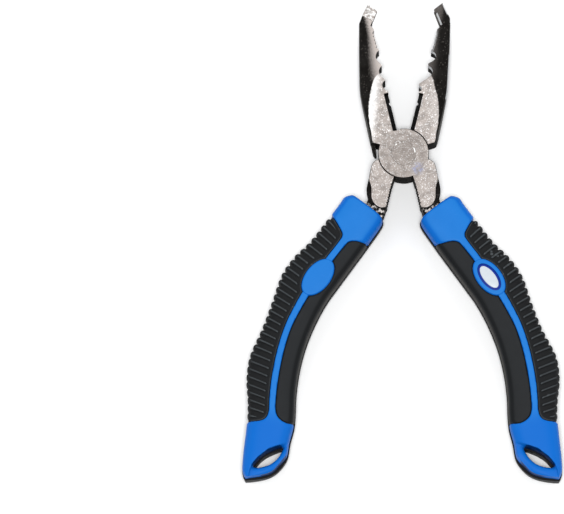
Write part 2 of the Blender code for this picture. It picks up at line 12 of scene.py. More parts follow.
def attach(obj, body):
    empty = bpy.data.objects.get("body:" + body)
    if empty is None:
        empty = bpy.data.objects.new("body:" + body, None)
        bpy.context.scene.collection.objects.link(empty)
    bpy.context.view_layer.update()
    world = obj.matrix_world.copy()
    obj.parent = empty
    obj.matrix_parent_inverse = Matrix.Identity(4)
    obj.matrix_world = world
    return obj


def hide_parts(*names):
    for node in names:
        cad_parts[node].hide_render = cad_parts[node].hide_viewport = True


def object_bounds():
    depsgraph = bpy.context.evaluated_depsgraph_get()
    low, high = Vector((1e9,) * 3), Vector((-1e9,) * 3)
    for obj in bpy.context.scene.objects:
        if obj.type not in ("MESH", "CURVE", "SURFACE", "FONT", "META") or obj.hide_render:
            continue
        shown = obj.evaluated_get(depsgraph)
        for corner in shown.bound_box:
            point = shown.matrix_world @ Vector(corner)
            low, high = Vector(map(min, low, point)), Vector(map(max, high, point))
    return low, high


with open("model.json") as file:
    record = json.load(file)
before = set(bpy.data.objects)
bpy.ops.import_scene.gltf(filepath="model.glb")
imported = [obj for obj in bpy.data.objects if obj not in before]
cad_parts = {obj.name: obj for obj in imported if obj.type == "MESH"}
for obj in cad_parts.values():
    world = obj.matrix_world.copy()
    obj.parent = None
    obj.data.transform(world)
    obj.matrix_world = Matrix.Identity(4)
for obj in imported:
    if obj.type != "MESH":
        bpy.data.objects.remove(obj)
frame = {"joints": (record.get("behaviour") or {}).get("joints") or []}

CAD_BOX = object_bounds()

# Lengths are millimetres and angles degrees. Each lever and its handle are drawn
# with the jaws closed, from the pivot, x outwards from the centreline.
MM = 0.001
HALF_OPEN_DEG = 13.5
PIVOT = Vector(frame["joints"][0]["pos_m"])
FRONT_BODY = "right_handle_side"
REAR_BODY = "left_handle_side"

JOINT_HALF = 5.5
DISC_R = 10.2
DISC_CLEAR = 0.3
LAP_GAP = 0.1
PIN_R = 3.0
HEAD_R = 4.95
HEAD_DEPTH = 1.7
PIN_SEAT_GAP = 0.02
PIN_CROWN = 0.06
EDGE_BREAK = 0.18         # chamfer along the ground edges
TALL = 2 * JOINT_HALF     # reaches past both faces of the joint
FAR = 20.0                # reaches past a handle's front and back

FRONT_JAW_INNER = (       # distance along the jaw, distance out to its inner edge
    (0.0, 0.15), (37.6, 0.1), (42.0, 0.0), (44.2, -0.3), (46.0, 0.0), (51.3, 0.0), (53.5, -0.4),
    (54.4, 0.1), (55.3, 0.6), (61.2, -3.6), (64.9, -0.9),
)
FRONT_JAW_OUTER = (
    (0.0, 11.9), (8.0, 11.9), (16.0, 11.75), (22.0, 11.6), (27.0, 11.35), (31.0, 10.9),
    (37.0, 9.6), (45.0, 7.8), (52.0, 6.15), (57.9, 4.7), (61.4, 2.3), (64.9, -0.7),
)
REAR_JAW_INNER = (
    (0.0, 0.15), (27.2, 0.15), (28.2, -0.6), (30.6, -0.6), (36.0, 0.7), (44.3, 0.9), (47.4, 1.2),
    (53.8, 1.15), (55.5, 2.3), (61.8, -2.1), (65.3, 0.6),
)
REAR_JAW_OUTER = (
    (0.0, 12.0), (8.0, 12.1), (16.0, 11.95), (22.0, 11.7), (27.0, 11.4), (31.0, 11.0), (37.0, 9.9),
    (45.0, 8.4), (52.0, 6.95), (58.2, 5.6), (60.3, 5.1), (65.3, 0.8),
)
JAW_CREST = (
    (0.0, 9.6), (11.0, 9.0), (18.5, 7.8), (23.5, 6.7), (27.0, 6.1), (30.5, 5.75),
    (34.0, 5.5), (45.0, 4.6), (55.0, 3.6), (65.4, 2.8),
)
TIP_Y = 52.0              # beyond this the jaws' edges are straight runs
JAW_SWELL = 3.0
SHOULDER_Y = 1.0
SHOULDER_SLOPE = 0.57
TONGUE_HALF = 1.05
TONGUE_STEP = ((-5.0, 51.9), (0.0, 57.5), (5.5, 63.7))
SLOT_HALF = 1.4
SLOT_FLOOR = ((-5.0, 58.9), (0.3, 53.2), (5.5, 58.3))
PRONG_EDGE = ((2.3, 55.5), (-2.1, 61.8))   # inner edge of the fork
PRONG_SET_BACK = 0.15     # the upper prong stands this far back from the lower one
PRONG_BEVEL = 0.65        # width of its ground bevel
PRONG_BEVEL_Z = (1.0, 3.2)
PRONG_ENDS = (0.4, 1.6)   # the grinding stops this far from the edge's ends
TIP_CLEAR_Y = 70.0        # past the end of both jaws
JAW_START_Y = 9.0         # first full station of a jaw, and the step between stations
JAW_STEP = 0.8
FLAT_X = {True: -0.1, False: 1.0}   # the gripping flat's face, on the front jaw or the rear one
NEST_FAR_X = -6.0
TOOTH_FAR_X = -1.5
LUG_Z = (-4.6, 1.2)
FRONT_NOTCHES = (         # the crimping nests and the teeth between them
    (0.0, 44.0), (0.75, 43.4), (1.45, 42.3), (1.65, 41.2), (1.4, 40.2), (0.85, 39.1), (0.05, 37.6),
    (0.9, 36.9), (1.6, 36.0), (1.85, 35.0), (1.65, 33.9), (1.0, 32.7), (0.1, 31.3),
    (0.95, 30.8), (1.65, 30.0), (1.85, 29.1), (1.6, 28.1), (0.95, 27.1), (0.1, 26.3),
)
REAR_NOTCHES = (          # two nests, then the nib that enters the other jaw
    (0.9, 44.2), (2.3, 43.9), (3.2, 43.0), (3.4, 41.9), (3.0, 40.8), (2.1, 39.7), (1.1, 38.7),
    (1.25, 37.9), (2.4, 37.4), (3.3, 36.5), (3.65, 35.4), (3.3, 34.2), (1.5, 31.9), (-0.6, 29.5),
    (-0.5, 29.0), (0.4, 28.5), (0.95, 27.9), (1.0, 27.2), (0.6, 26.5),
)
SERRATION_RANGE = (45.0, 52.8)
SERRATION_PITCH = 1.56
SERRATION_DEPTH = 0.75
CUTTER_RANGE = (9.8, 25.9)
CUTTER_EDGE_X = 0.15
CUTTER_WIDTH = 2.0
CUTTER_LAND = 0.3
WIRE_NICK = (22.3, 0.9)
STAIN_PLACE = (-4.1, -7.5)  # a bluish heat stain on the front lever's disc

TANG_PLATE = (
    (6.6, -3.6), (9.1, -4.6), (10.7, -6.0), (11.3, -7.8), (11.3, -11.5), (10.9, -14.2), (9.6, -16.4),
    (8.9, -19.0), (8.2, -21.2), (6.6, -23.1), (4.4, -24.0), (2.6, -23.8), (1.5, -22.6),
    (1.6, -16.5), (1.5, -12.0), (1.2, -9.4), (0.4, -8.0),
)
TANG_BODY_HALF = 3.4
TANG_BODY = (
    (6.6, -5.0), (10.9, -8.0), (11.3, -12.5), (11.2, -17.2), (10.4, -19.4), (9.7, -21.0), (9.8, -27.0),
    (8.8, -28.4), (3.4, -28.4), (1.9, -26.8), (1.6, -20.0), (1.6, -12.0), (2.0, -9.0),
)
TANG_TEETH = (-13.0, -22.0)
TANG_TOOTH_PITCH = 1.2
TANG_TOOTH_DEPTH = 0.55
SHANK_HALF = 2.2
SHANK_ROUTE = (           # centreline of the shank hidden in the handle, and half width
    ((6.1, -26.0), 2.8), ((9.6, -35.0), 3.0), ((14.6, -45.0), 3.0), ((19.8, -55.0), 3.0),
    ((23.9, -65.0), 2.7), ((26.4, -76.0), 2.4),
)
SOCKET_GAP = 0.25
STOP_LUG = ((9.9, 8.6), (11.7, 8.6), (11.75, 3.9), (11.3, 2.7), (10.6, 2.5))

HANDLE_STATIONS = (
    ((2.1, -27.4), (15.9, -21.2)), ((1.1, -28.9), (18.6, -22.9)), ((1.6, -31.6), (19.7, -25.6)),
    ((4.2, -38.4), (21.8, -30.6)), ((6.5, -44.2), (24.1, -35.4)), ((9.3, -51.0), (27.9, -43.8)),
    ((12.5, -58.8), (32.7, -51.6)), ((15.5, -66.5), (35.8, -60.0)), ((17.9, -76.0), (36.9, -71.5)),
    ((19.3, -86.0), (38.2, -82.8)), ((19.4, -96.0), (40.2, -94.5)), ((18.4, -105.5), (39.4, -104.0)),
    ((16.9, -113.0), (37.0, -112.0)), ((16.0, -119.0), (35.3, -119.0)), ((16.1, -125.0), (34.4, -125.0)),
    ((15.8, -131.5), (33.5, -132.5)), ((17.8, -136.6), (32.6, -138.4)), ((20.6, -139.8), (32.1, -140.8)),
    ((24.2, -141.8), (31.3, -142.7)), ((28.2, -143.3), (30.2, -143.9)),
)
HANDLE_TRIM = {           # the handles are not exact mirror images: side, (along, edge shift outwards)
    1.0: {
        "inner": ((-145.0, -1.0), (-130.0, -1.3), (-20.0, -1.3)),
        "outer": ((-145.0, -0.8), (-118.0, -0.6), (-105.0, 0.0), (-92.0, 0.0), (-80.0, -0.9), (-20.0, -0.9)),
    },
    -1.0: {
        "inner": ((-145.0, 0.3), (-20.0, 0.3)),
        "outer": ((-145.0, 0.3), (-20.0, 0.5)),
    },
}
HANDLE_SWELL = 4.0        # exponent of the handle's rounded section
HALF_WIDTH = 10.0         # a handle's usual half width, which shapes its section
FRONT_HEIGHT = 7.25
BACK_HEIGHT = 7.25
FLAT_BACK = 0.82
PARTING_Z = -0.35
PARTING_GAP = 0.15
COLLAR_ROUND = 1.2
COLLAR_ROWS = (0.15, 0.3, 0.6)   # extra rows of points round the collar's edge
TAIL_START = 0.9          # the handle thins towards the loop from this share of its length
TAIL_THINNING = 0.18
LINE_STEPS = 24           # steps between handle stations
BORDER_STEPS = 8          # steps between the points of a border or a hole

GRIP_EDGE = (
    (24.0, -29.2), (21.6, -32.0), (17.3, -36.7), (16.0, -38.8), (16.6, -41.6), (20.0, -49.4), (24.3, -60.0),
    (26.1, -65.6), (27.6, -71.0), (29.5, -80.0), (30.2, -90.6), (29.7, -102.0), (28.7, -109.5),
    (27.6, -115.6), (28.2, -118.6), (30.4, -120.2), (34.0, -121.3), (38.0, -122.4),
)
PAD_EDGE = (
    (0.0, -38.8), (5.6, -39.9), (9.8, -40.0), (12.4, -40.8), (13.8, -42.6), (17.0, -49.6), (21.2, -60.0),
    (23.3, -66.6), (25.0, -72.4), (26.9, -80.8), (27.5, -91.0), (27.0, -101.6), (26.1, -109.0),
    (25.0, -114.4), (23.0, -117.3), (19.4, -118.5), (15.6, -117.6), (11.0, -115.8),
)
GRIP_FAR_X = 48.0
PAD_FAR_X = -6.0
SECTION_SAMPLES = 2001
SEAM = 0.12               # groove on each side of a border between two plastics
EDGE_ROUND = 0.45         # radius of the rubber's edges along the borders
SHELL_ROUND = 0.35        # and of the blue shell's
PAD_SINK = 0.25           # the pad's face lies this far below the shell's
RUBBER_SMOOTH_DEG = 50.0
RIB_START_Y = -32.4
RIB_END_Y = -120.4
RIB_COUNT = 29
RIB_MARGIN = 1.5          # plain rubber between a rib's end and the border
RIB_HALF = 0.6            # half a rib's width
RIB_DEPTH = 0.6           # how far the ribs stand above the rubber between them
LOBE_HALF = 1.25          # half a rib's width where it wraps round the handle's side
LOBE_REACH = 2.0          # the widening starts this far in from the side
LOBE_DEPTH = 1.05         # how deep the gaps are there, on the upper part of the handle
LOW_LOBE_DEPTH = 0.5      # and on its lower part
LOBE_CHANGE = (-97.0, -88.0)     # where the one gives way to the other
RIB_SAFETY = 0.01         # keeps the crests just inside the handle's own surface
RIB_SKEW = 0.1            # how far a rib leans towards the loop as it runs inwards

BOSS_CENTRE = (21.4, -58.0)
BOSS_HALF = (8.6, 5.0)
BOSS_TILT_DEG = -66.0
BOSS_TOP = 7.5
BOSS_ROUND = (0.8, 0.5)   # its rounded rim, across and in height
BADGE_BASE_HALF = (6.4, 3.4)
BADGE_PLATE_HALF = (5.3, 2.4)
BADGE_FLOOR = 6.6

LOOP_HOLE = (
    (28.6, -138.0), (27.4, -135.2), (25.9, -132.9), (23.9, -130.9), (21.8, -129.3), (19.9, -128.1),
    (18.5, -128.3), (18.9, -130.6), (20.0, -133.2), (21.9, -135.7), (24.6, -137.5), (27.3, -138.5),
)
BACK_HOLE_SHIFT = (-0.3, -0.45)   # the black shell's hole lies nearer the foot
HOLE_CENTRE = (23.5, -133.6)
LOOP_STEP = (
    (12.0, -124.6), (16.2, -125.6), (19.6, -127.6), (23.6, -130.2), (27.2, -134.6), (28.9, -138.0),
    (29.3, -141.0), (29.0, -147.0), (12.0, -147.0),
)
RIM_TOP = 5.4
RIM_ROUND = 2.0
HOLE_ROUND = 0.4          # round the hole on the handle's face
BACK_HOLE_ROUND = 0.8     # and on its back
STEP_SLOPE = (-0.25, 0.35)
SET_BACK_SIDE = 0.45      # how far the blue shell stands back from the black one at its inner side
SET_BACK_LOOP = 1.4       # and round the foot of the loop
FOOT_SHORT = 0.7          # how much earlier than the black one it ends

# Camera, in millimetres: aimed at a point on the centreline, from the handles' side.
VIEW_ELEVATION_DEG = 78.1
VIEW_DISTANCE = 1894.0
VIEW_TARGET_Y = -6.5
VIEW_LENS = 300.0
VIEW_SHIFT_X = -0.2155


# ---- outlines

def lookup(table, station):
    """Value at a station in a table of (station, value) pairs, straight between them."""
    stations = [row[0] for row in table]
    values = [row[1] for row in table]
    return float(np.interp(station, stations, values))


def smooth_line(points, steps):
    """Points on a smooth curve through the given ones, with some steps between each pair."""
    knots = [Vector(point) for point in points]
    before = [knots[0] * 2.0 - knots[1]] + knots[:-1]
    after = knots[1:] + [knots[-1] * 2.0 - knots[-2]]
    line = []
    for index in range(len(knots) - 1):
        start = knots[index]
        end = knots[index + 1]
        leave = (end - before[index]) / 2.0
        arrive = (after[index + 1] - start) / 2.0
        for step in range(steps):
            t = step / steps
            point = start * (2 * t**3 - 3 * t**2 + 1) + leave * (t**3 - 2 * t**2 + t)
            line.append(point + end * (3 * t**2 - 2 * t**3) + arrive * (t**3 - t**2))
    line.append(knots[-1])
    return line


def smooth_loop(points, steps):
    """Points on a smooth closed curve through the given ones."""
    count = len(points)
    wrapped = [points[-1], *points, points[0], points[1]]
    return smooth_line(wrapped, steps)[steps:steps * (count + 1)]


def smooth_table(table):
    return [(point.x, point.y) for point in smooth_line(table, 6)]


def grow(outline, distance):
    """The closed outline moved outwards by a distance."""
    points = [Vector(point) for point in outline]
    area = sum(a.x * b.y - b.x * a.y for a, b in zip(points, points[1:] + points[:1]))
    turn = 1.0 if area > 0 else -1.0
    grown = []
    for index, point in enumerate(points):
        arrive = (point - points[index - 1]).normalized()
        leave = (points[(index + 1) % len(points)] - point).normalized()
        normal = Vector((arrive.y + leave.y, -arrive.x - leave.x)).normalized() * turn
        corner = max(0.5, normal.dot(Vector((leave.y, -leave.x))) * turn)
        grown.append(point + normal * distance / corner)
    return grown


def ellipse(centre, half, tilt_deg=0.0, steps=96):
    tilt = math.radians(tilt_deg)
    points = []
    for step in range(steps):
        angle = math.tau * step / steps
        along = half[0] * math.cos(angle)
        across = half[1] * math.sin(angle)
        x = centre[0] + along * math.cos(tilt) - across * math.sin(tilt)
        y = centre[1] + along * math.sin(tilt) + across * math.cos(tilt)
        points.append(Vector((x, y)))
    return points


def circle(radius, centre=(0.0, 0.0), steps=128):
    return ellipse(centre, (radius, radius), 0.0, steps)


def border_outline(border, far_x):
    """The closed outline between a border of the blue shell and a line beyond the handle's edge."""
    edge = smooth_line(border, BORDER_STEPS)
    return edge + [Vector((far_x, edge[-1].y)), Vector((far_x, edge[0].y))]


def grip_outline():
    return border_outline(GRIP_EDGE, GRIP_FAR_X)


def pad_outline():
    return border_outline(PAD_EDGE, PAD_FAR_X)


def boss_outline(half=BOSS_HALF):
    return ellipse(BOSS_CENTRE, half, BOSS_TILT_DEG)


def hole_outline(shift=(0.0, 0.0)):
    return smooth_loop([Vector(point) + Vector(shift) for point in LOOP_HOLE], BORDER_STEPS)


def running_length(line):
    """Length along a line of points, up to each of them."""
    return np.concatenate([[0.0], np.cumsum(np.hypot(*np.diff(line, axis=0).T))])


def depth_inside(x, y, outline):
    """Distance of each point (x, y) inside a closed outline, negative outside it."""
    nearest = np.full(x.shape, np.inf)
    inside = np.zeros(x.shape, dtype=bool)
    ends = outline[1:] + outline[:1]
    for start, end in zip(outline, ends):
        run_x = end[0] - start[0]
        run_y = end[1] - start[1]
        length_squared = max(run_x**2 + run_y**2, 1e-12)
        share = ((x - start[0]) * run_x + (y - start[1]) * run_y) / length_squared
        share = np.clip(share, 0.0, 1.0)
        gap = np.hypot(x - start[0] - share * run_x, y - start[1] - share * run_y)
        nearest = np.minimum(nearest, gap)
        crosses = (start[1] > y) != (end[1] > y)
        rise = run_y if abs(run_y) > 1e-12 else 1e-12
        inside ^= crosses & (x < start[0] + run_x * (y - start[1]) / rise)
    return np.where(inside, nearest, -nearest)


def rounded_drop(distance, radius):
    """How far a surface falls towards an edge that is rounded to a radius."""
    near = np.clip(1.0 - distance / radius, 0.0, 1.0)
    return radius * (1.0 - np.sqrt(1.0 - near**2))


def smoothstep(low, high, value):
    share = np.clip((value - low) / (high - low), 0.0, 1.0)
    return share * share * (3.0 - 2.0 * share)


# ---- solids

def solid_from_rings(name, rings):
    """A closed solid skinned over rings of points given in millimetres."""
    count = len(rings[0])
    points = [tuple(coordinate * MM for coordinate in point) for ring in rings for point in ring]
    faces = []
    for row in range(len(rings) - 1):
        for index in range(count):
            following = (index + 1) % count
            low = row * count
            faces.append((low + index, low + following, low + count + following, low + count + index))
    faces.append(tuple(range(count)))
    faces.append(tuple(range((len(rings) - 1) * count, len(rings) * count)))
    mesh = bpy.data.meshes.new(name)
    mesh.from_pydata(points, [], faces)
    mesh_data = bmesh.new()
    mesh_data.from_mesh(mesh)
    bmesh.ops.recalc_face_normals(mesh_data, faces=mesh_data.faces)
    mesh_data.to_mesh(mesh)
    mesh_data.free()
    solid = bpy.data.objects.new(name, mesh)
    bpy.context.scene.collection.objects.link(solid)
    return solid


def stack(name, levels, side=1.0):
    """A closed solid over outlines, each at its height."""
    rings = [[(point[0] * side, point[1], height) for point in line] for line, height in levels]
    return solid_from_rings(name, rings)


def prism(outline, low, high, side=1.0):
    """An upright prism over an outline, between two heights."""
    return stack("prism", ((outline, low), (outline, high)), side)


def column(outline, side):
    """A prism that reaches past a handle's front and back."""
    return prism(outline, -FAR, FAR, side)


def plate(outline, low, high, side=1.0, broken=EDGE_BREAK):
    """A prism whose two ends have their sharp edges broken."""
    inset = grow(outline, -broken)
    levels = ((inset, low), (outline, low + broken), (outline, high - broken), (inset, high))
    return stack("plate", levels, side)


def bar_along_y(section, start, end, side):
    rings = [[(x * side, station, z) for x, z in section] for station in (start, end)]
    return solid_from_rings("bar", rings)


def combine(target, tool, operation):
    """Boolean one solid with another, which is used up."""
    modifier = target.modifiers.new("combine", "BOOLEAN")
    modifier.operation = operation
    modifier.solver = "MANIFOLD"
    modifier.object = tool
    view = bpy.context.evaluated_depsgraph_get()
    result = bpy.data.meshes.new_from_object(target.evaluated_get(view))
    target.modifiers.clear()
    target.data = result
    bpy.data.objects.remove(tool, do_unlink=True)


def join(target, tool):
    combine(target, tool, "UNION")


def cut(target, tool):
    combine(target, tool, "DIFFERENCE")


def keep_inside(target, tool):
    combine(target, tool, "INTERSECT")


def place(piece, name, material, body, nodes, smooth_deg=32.0):
    """Name a piece, give it its finish and stand it in for its CAD nodes on its body."""
    piece.name = name
    piece.data.name = name
    piece.data.materials.clear()
    piece.data.materials.append(material)
    mesh_data = bmesh.new()
    mesh_data.from_mesh(piece.data)
    bmesh.ops.remove_doubles(mesh_data, verts=mesh_data.verts, dist=0.001 * MM)
    bmesh.ops.dissolve_degenerate(mesh_data, edges=mesh_data.edges, dist=0.001 * MM)
    mesh_data.to_mesh(piece.data)
    mesh_data.free()
    piece.data.shade_smooth()
    piece.data.set_sharp_from_angle(angle=math.radians(smooth_deg))
    swing = HALF_OPEN_DEG if body == FRONT_BODY else -HALF_OPEN_DEG
    turn = Matrix.Rotation(math.radians(swing), 4, "Z")
    piece.data.transform(Matrix.Translation(PIVOT) @ turn)
    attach(piece, body)
    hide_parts(*nodes)


# ---- levers

def edge_table(table):
    """A jaw edge, smoothed up to its tip and straight beyond."""
    body = [row for row in table if row[0] <= TIP_Y]
    return smooth_table(body) + list(table[len(body):])


def jaw_blank(side, inner_table, outer_table):
    """The forged jaw: flat inner face, swelling outer side and a hooked tip."""
    outer_edge = edge_table(outer_table)
    crest_line = smooth_table(JAW_CREST)
    last = inner_table[-1][0]
    stations = list(np.arange(JAW_START_Y, last, JAW_STEP))
    stations += [y for y, _ in inner_table + outer_table if y > JAW_START_Y]
    stations = sorted({round(float(y), 3) for y in stations})
    rings = []
    for station in [None] + stations:
        along = SHOULDER_Y if station is None else station
        outer = lookup(outer_edge, along)
        inner = lookup(inner_table, along)
        crest = lookup(crest_line, along)
        front = []
        for step in range(25):
            share = math.sin(math.pi / 2 * step / 24)
            x = inner + (outer - inner) * share
            height = crest * max(0.0, 1.0 - share**JAW_SWELL) ** (1.0 / JAW_SWELL)
            y = SHOULDER_Y + SHOULDER_SLOPE * x if station is None else along
            front.append((x * side, y, min(height, JOINT_HALF)))
        rings.append(front + [(x, y, -z) for x, y, z in reversed(front[:-1])])
    return solid_from_rings("jaw", rings)


def saw_teeth(side, start, end, pitch, depth, face_x, far_x):
    """Saw teeth standing in from a face, as the cutter that leaves them."""
    outline = [(far_x, start), (face_x, start)]
    steps = round(abs(end - start) / pitch)
    for step in range(steps):
        base = start + (end - start) * step / steps
        outline.append((face_x + depth, base + (end - start) / steps * 0.45))
        outline.append((face_x, base + (end - start) / steps * 0.98))
    outline.append((far_x, end))
    return prism(outline, -TALL, TALL, side)


def cut_jaw_details(lever, side, notches):
    """Crimping nests, gripping teeth and the side cutter with its wire nick."""
    ends = [Vector((NEST_FAR_X, notches[index][1])) for index in (0, -1)]
    nests = [ends[0], *smooth_line(notches, 3), ends[1]]
    cut(lever, prism(nests, -TALL, TALL, side))
    start, end = SERRATION_RANGE
    face_x = FLAT_X[notches is FRONT_NOTCHES]
    cut(lever, saw_teeth(side, start, end, SERRATION_PITCH, SERRATION_DEPTH, face_x, TOOTH_FAR_X))
    for face in (1.0, -1.0):
        wedge = [
            (-1.0, CUTTER_LAND * face), (CUTTER_EDGE_X, CUTTER_LAND * face),
            (CUTTER_EDGE_X + CUTTER_WIDTH, (JOINT_HALF + 0.2) * face), (-1.0, (JOINT_HALF + 0.2) * face),
        ]
        cut(lever, bar_along_y(wedge, *CUTTER_RANGE, side))
    along, radius = WIRE_NICK
    cut(lever, prism(circle(radius, (0.0, along), 32), -TALL, TALL, side))


def cut_tip(lever, side, forked):
    """Grind the tongue thin on both faces, or slot the fork that it enters."""
    edge = SLOT_FLOOR if forked else TONGUE_STEP
    outline = [*edge, (edge[-1][0], TIP_CLEAR_Y), (edge[0][0], TIP_CLEAR_Y)]
    if forked:
        cut(lever, prism(outline, -SLOT_HALF, SLOT_HALF, side))
    else:
        cut(lever, prism(outline, TONGUE_HALF, TALL, side))
        cut(lever, prism(outline, -TALL, -TONGUE_HALF, side))


def grind_prong(lever, side):
    """Set the fork's upper prong back along its inner edge, with a bright bevel."""
    start, end = (Vector(point) for point in PRONG_EDGE)
    along = (end - start).normalized()
    inwards = Vector((-along.y, along.x))
    start = start + along * PRONG_ENDS[0]
    end = end - along * PRONG_ENDS[1]
    low, high = PRONG_BEVEL_Z
    top = PRONG_SET_BACK + PRONG_BEVEL
    rings = []
    for depth, height in ((PRONG_SET_BACK, -SLOT_HALF + 0.1), (PRONG_SET_BACK, low), (top, high), (top, 8.0)):
        corners = (start + inwards * 6.0, start - inwards * depth, end - inwards * depth, end + inwards * 6.0)
        rings.append([(corner.x * side, corner.y, height) for corner in corners])
    cut(lever, solid_from_rings("grinder", rings))


def pin_solid(extra):
    """The rivet, or with some extra the hole it sits in."""
    end = JOINT_HALF + extra
    head = HEAD_R + extra
    pin = PIN_R + extra
    neck = JOINT_HALF - HEAD_DEPTH
    crown = 0.0 if extra else PIN_CROWN
    profile = [(head - crown, -end), (head, -end + crown + 0.01), (head, -JOINT_HALF + 0.3), (pin, -neck)]
    profile += [(radius, -height) for radius, height in reversed(profile)]
    rings = [[(point.x, point.y, height) for point in circle(radius)] for radius, height in profile]
    return solid_from_rings("pin", rings)


def shank_outline(extra=0.0):
    """The tapering shank that holds the handle, or with some extra its socket."""
    centres = smooth_line([point for point, _ in SHANK_ROUTE], 4)
    widths = list(enumerate(width for _, width in SHANK_ROUTE))
    left = []
    right = []
    for index, point in enumerate(centres):
        ahead = centres[min(index + 1, len(centres) - 1)]
        behind = centres[max(index - 1, 0)]
        across = (ahead - behind).orthogonal().normalized()
        half = lookup(widths, index / 4) + extra
        left.append(point + across * half)
        right.append(point - across * half)
    return left + right[::-1]


def build_lever(name, material, body, jaw_side, front):
    """One lever: jaw, half-thick disc, tang and the shank inside the handle."""
    tang_side = -jaw_side
    if front:
        lever = jaw_blank(jaw_side, FRONT_JAW_INNER, FRONT_JAW_OUTER)
    else:
        lever = jaw_blank(jaw_side, REAR_JAW_INNER, REAR_JAW_OUTER)
    tang = plate(smooth_loop(TANG_PLATE, 3), -JOINT_HALF, JOINT_HALF, tang_side)
    join(tang, plate(smooth_loop(TANG_BODY, 3), -TANG_BODY_HALF, TANG_BODY_HALF, tang_side, 0.4))
    join(tang, prism(shank_outline(), -SHANK_HALF, SHANK_HALF, tang_side))
    start, end = TANG_TEETH
    cut(tang, saw_teeth(tang_side, end, start, TANG_TOOTH_PITCH, TANG_TOOTH_DEPTH, 1.55, 0.2))
    if front:
        join(lever, prism(STOP_LUG, *LUG_Z, jaw_side))
        low, high = -TALL, LAP_GAP
        disc_low, disc_high = LAP_GAP, JOINT_HALF
    else:
        low, high = -LAP_GAP, TALL
        disc_low, disc_high = -JOINT_HALF, -LAP_GAP
    clearance = circle(DISC_R + DISC_CLEAR)
    cut(lever, prism(clearance, low, high))
    cut(tang, prism(clearance, low, high))
    join(lever, plate(circle(DISC_R), disc_low, disc_high))
    join(lever, tang)
    cut_jaw_details(lever, jaw_side, FRONT_NOTCHES if front else REAR_NOTCHES)
    cut_tip(lever, jaw_side, forked=not front)
    if not front:
        grind_prong(lever, jaw_side)
    cut(lever, pin_solid(PIN_SEAT_GAP))
    place(lever, name + "_body", material, body, [name])


# ---- handles

def section_profile(columns):
    """Points (across, rise) of the handle's half section, evenly spaced along it."""
    angles = np.linspace(0.0, math.pi, SECTION_SAMPLES)
    power = 2.0 / HANDLE_SWELL
    across = np.sign(np.cos(angles)) * np.abs(np.cos(angles)) ** power
    rise = np.abs(np.sin(angles)) ** power
    steps = np.hypot(np.diff(across) * HALF_WIDTH, np.diff(rise) * FRONT_HEIGHT)
    length = np.concatenate([[0.0], np.cumsum(steps)])
    wanted = np.linspace(0.0, length[-1], columns)
    return np.interp(wanted, length, across), np.interp(wanted, length, rise)


def handle_lines(side):
    """A handle's inner and outer edges, as matching points from collar to loop."""
    trims = HANDLE_TRIM[side]
    lines = []
    for column, edge in enumerate(("inner", "outer")):
        points = [pair[column] for pair in HANDLE_STATIONS]
        moved = [(x + lookup(trims[edge], y), y) for x, y in points]
        lines.append(np.array([tuple(point) for point in smooth_line(moved, LINE_STEPS)]))
    return lines


class HandleSurface:
    """Half of a handle as a grid of points, which the moulded details then shift."""

    def __init__(self, side, front, row_step, columns):
        self.side = side
        self.front = front
        inner, outer = handle_lines(side)
        length = running_length((inner + outer) / 2)
        outer_length = running_length(outer)
        wanted = np.linspace(0.0, length[-1], int(length[-1] / row_step) + 1)
        wanted = np.sort(np.concatenate([wanted, COLLAR_ROWS]))
        inner, outer = (
            np.stack([np.interp(wanted, length, line[:, axis]) for axis in (0, 1)], axis=1)
            for line in (inner, outer)
        )
        self.along = np.interp(wanted, length, outer_length)[:, None] * np.ones(columns)
        half = (outer - inner) / 2
        middle = (outer + inner) / 2
        width = np.hypot(half[:, 0], half[:, 1])[:, None]
        self.half_width = width * np.ones(columns)
        across, rise = section_profile(columns)
        if not front:
            rise = np.minimum(rise, FLAT_BACK) / FLAT_BACK
        self.across = across[None, :] * np.ones((len(wanted), 1))
        self.rise = rise[None, :] * np.ones((len(wanted), 1))
        self.x = middle[:, :1] + half[:, :1] * across
        self.y = middle[:, 1:] + half[:, 1:] * across
        tail = np.clip((wanted / length[-1] - TAIL_START) / (1.0 - TAIL_START), 0.0, 1.0)[:, None]
        collar = rounded_drop(wanted[:, None], COLLAR_ROUND)
        height = (FRONT_HEIGHT if front else BACK_HEIGHT) * (1.0 - TAIL_THINNING * tail**2) - collar
        self.z = height * self.rise
        direction = half / width
        flatness = np.abs(self.rise) ** (HANDLE_SWELL - 1)
        lean = np.sign(self.across) * np.abs(self.across) ** (HANDLE_SWELL - 1)
        size = np.maximum(np.hypot(flatness * HALF_WIDTH, lean * FRONT_HEIGHT), 1e-6)
        self.normal_z = flatness * HALF_WIDTH / size
        self.normal_x = lean * FRONT_HEIGHT / size * direction[:, :1]
        self.normal_y = lean * FRONT_HEIGHT / size * direction[:, 1:]

    def push(self, distance):
        """Move the surface outwards along its normals."""
        self.x = self.x + self.normal_x * distance
        self.y = self.y + self.normal_y * distance
        self.z = self.z + self.normal_z * distance

    def solid(self):
        floor = PARTING_Z + PARTING_GAP if self.front else PARTING_Z - PARTING_GAP
        z = np.maximum(self.z, floor) if self.front else np.minimum(-self.z, floor)
        rings = []
        for row in range(z.shape[0]):
            ring = list(zip(self.x[row] * self.side, self.y[row], z[row]))
            first, final = ring[0], ring[-1]
            if abs(first[2] - floor) > 0.001:
                ring = [(first[0], first[1], floor)] + ring + [(final[0], final[1], floor)]
            rings.append(ring)
        return solid_from_rings("handle", rings)


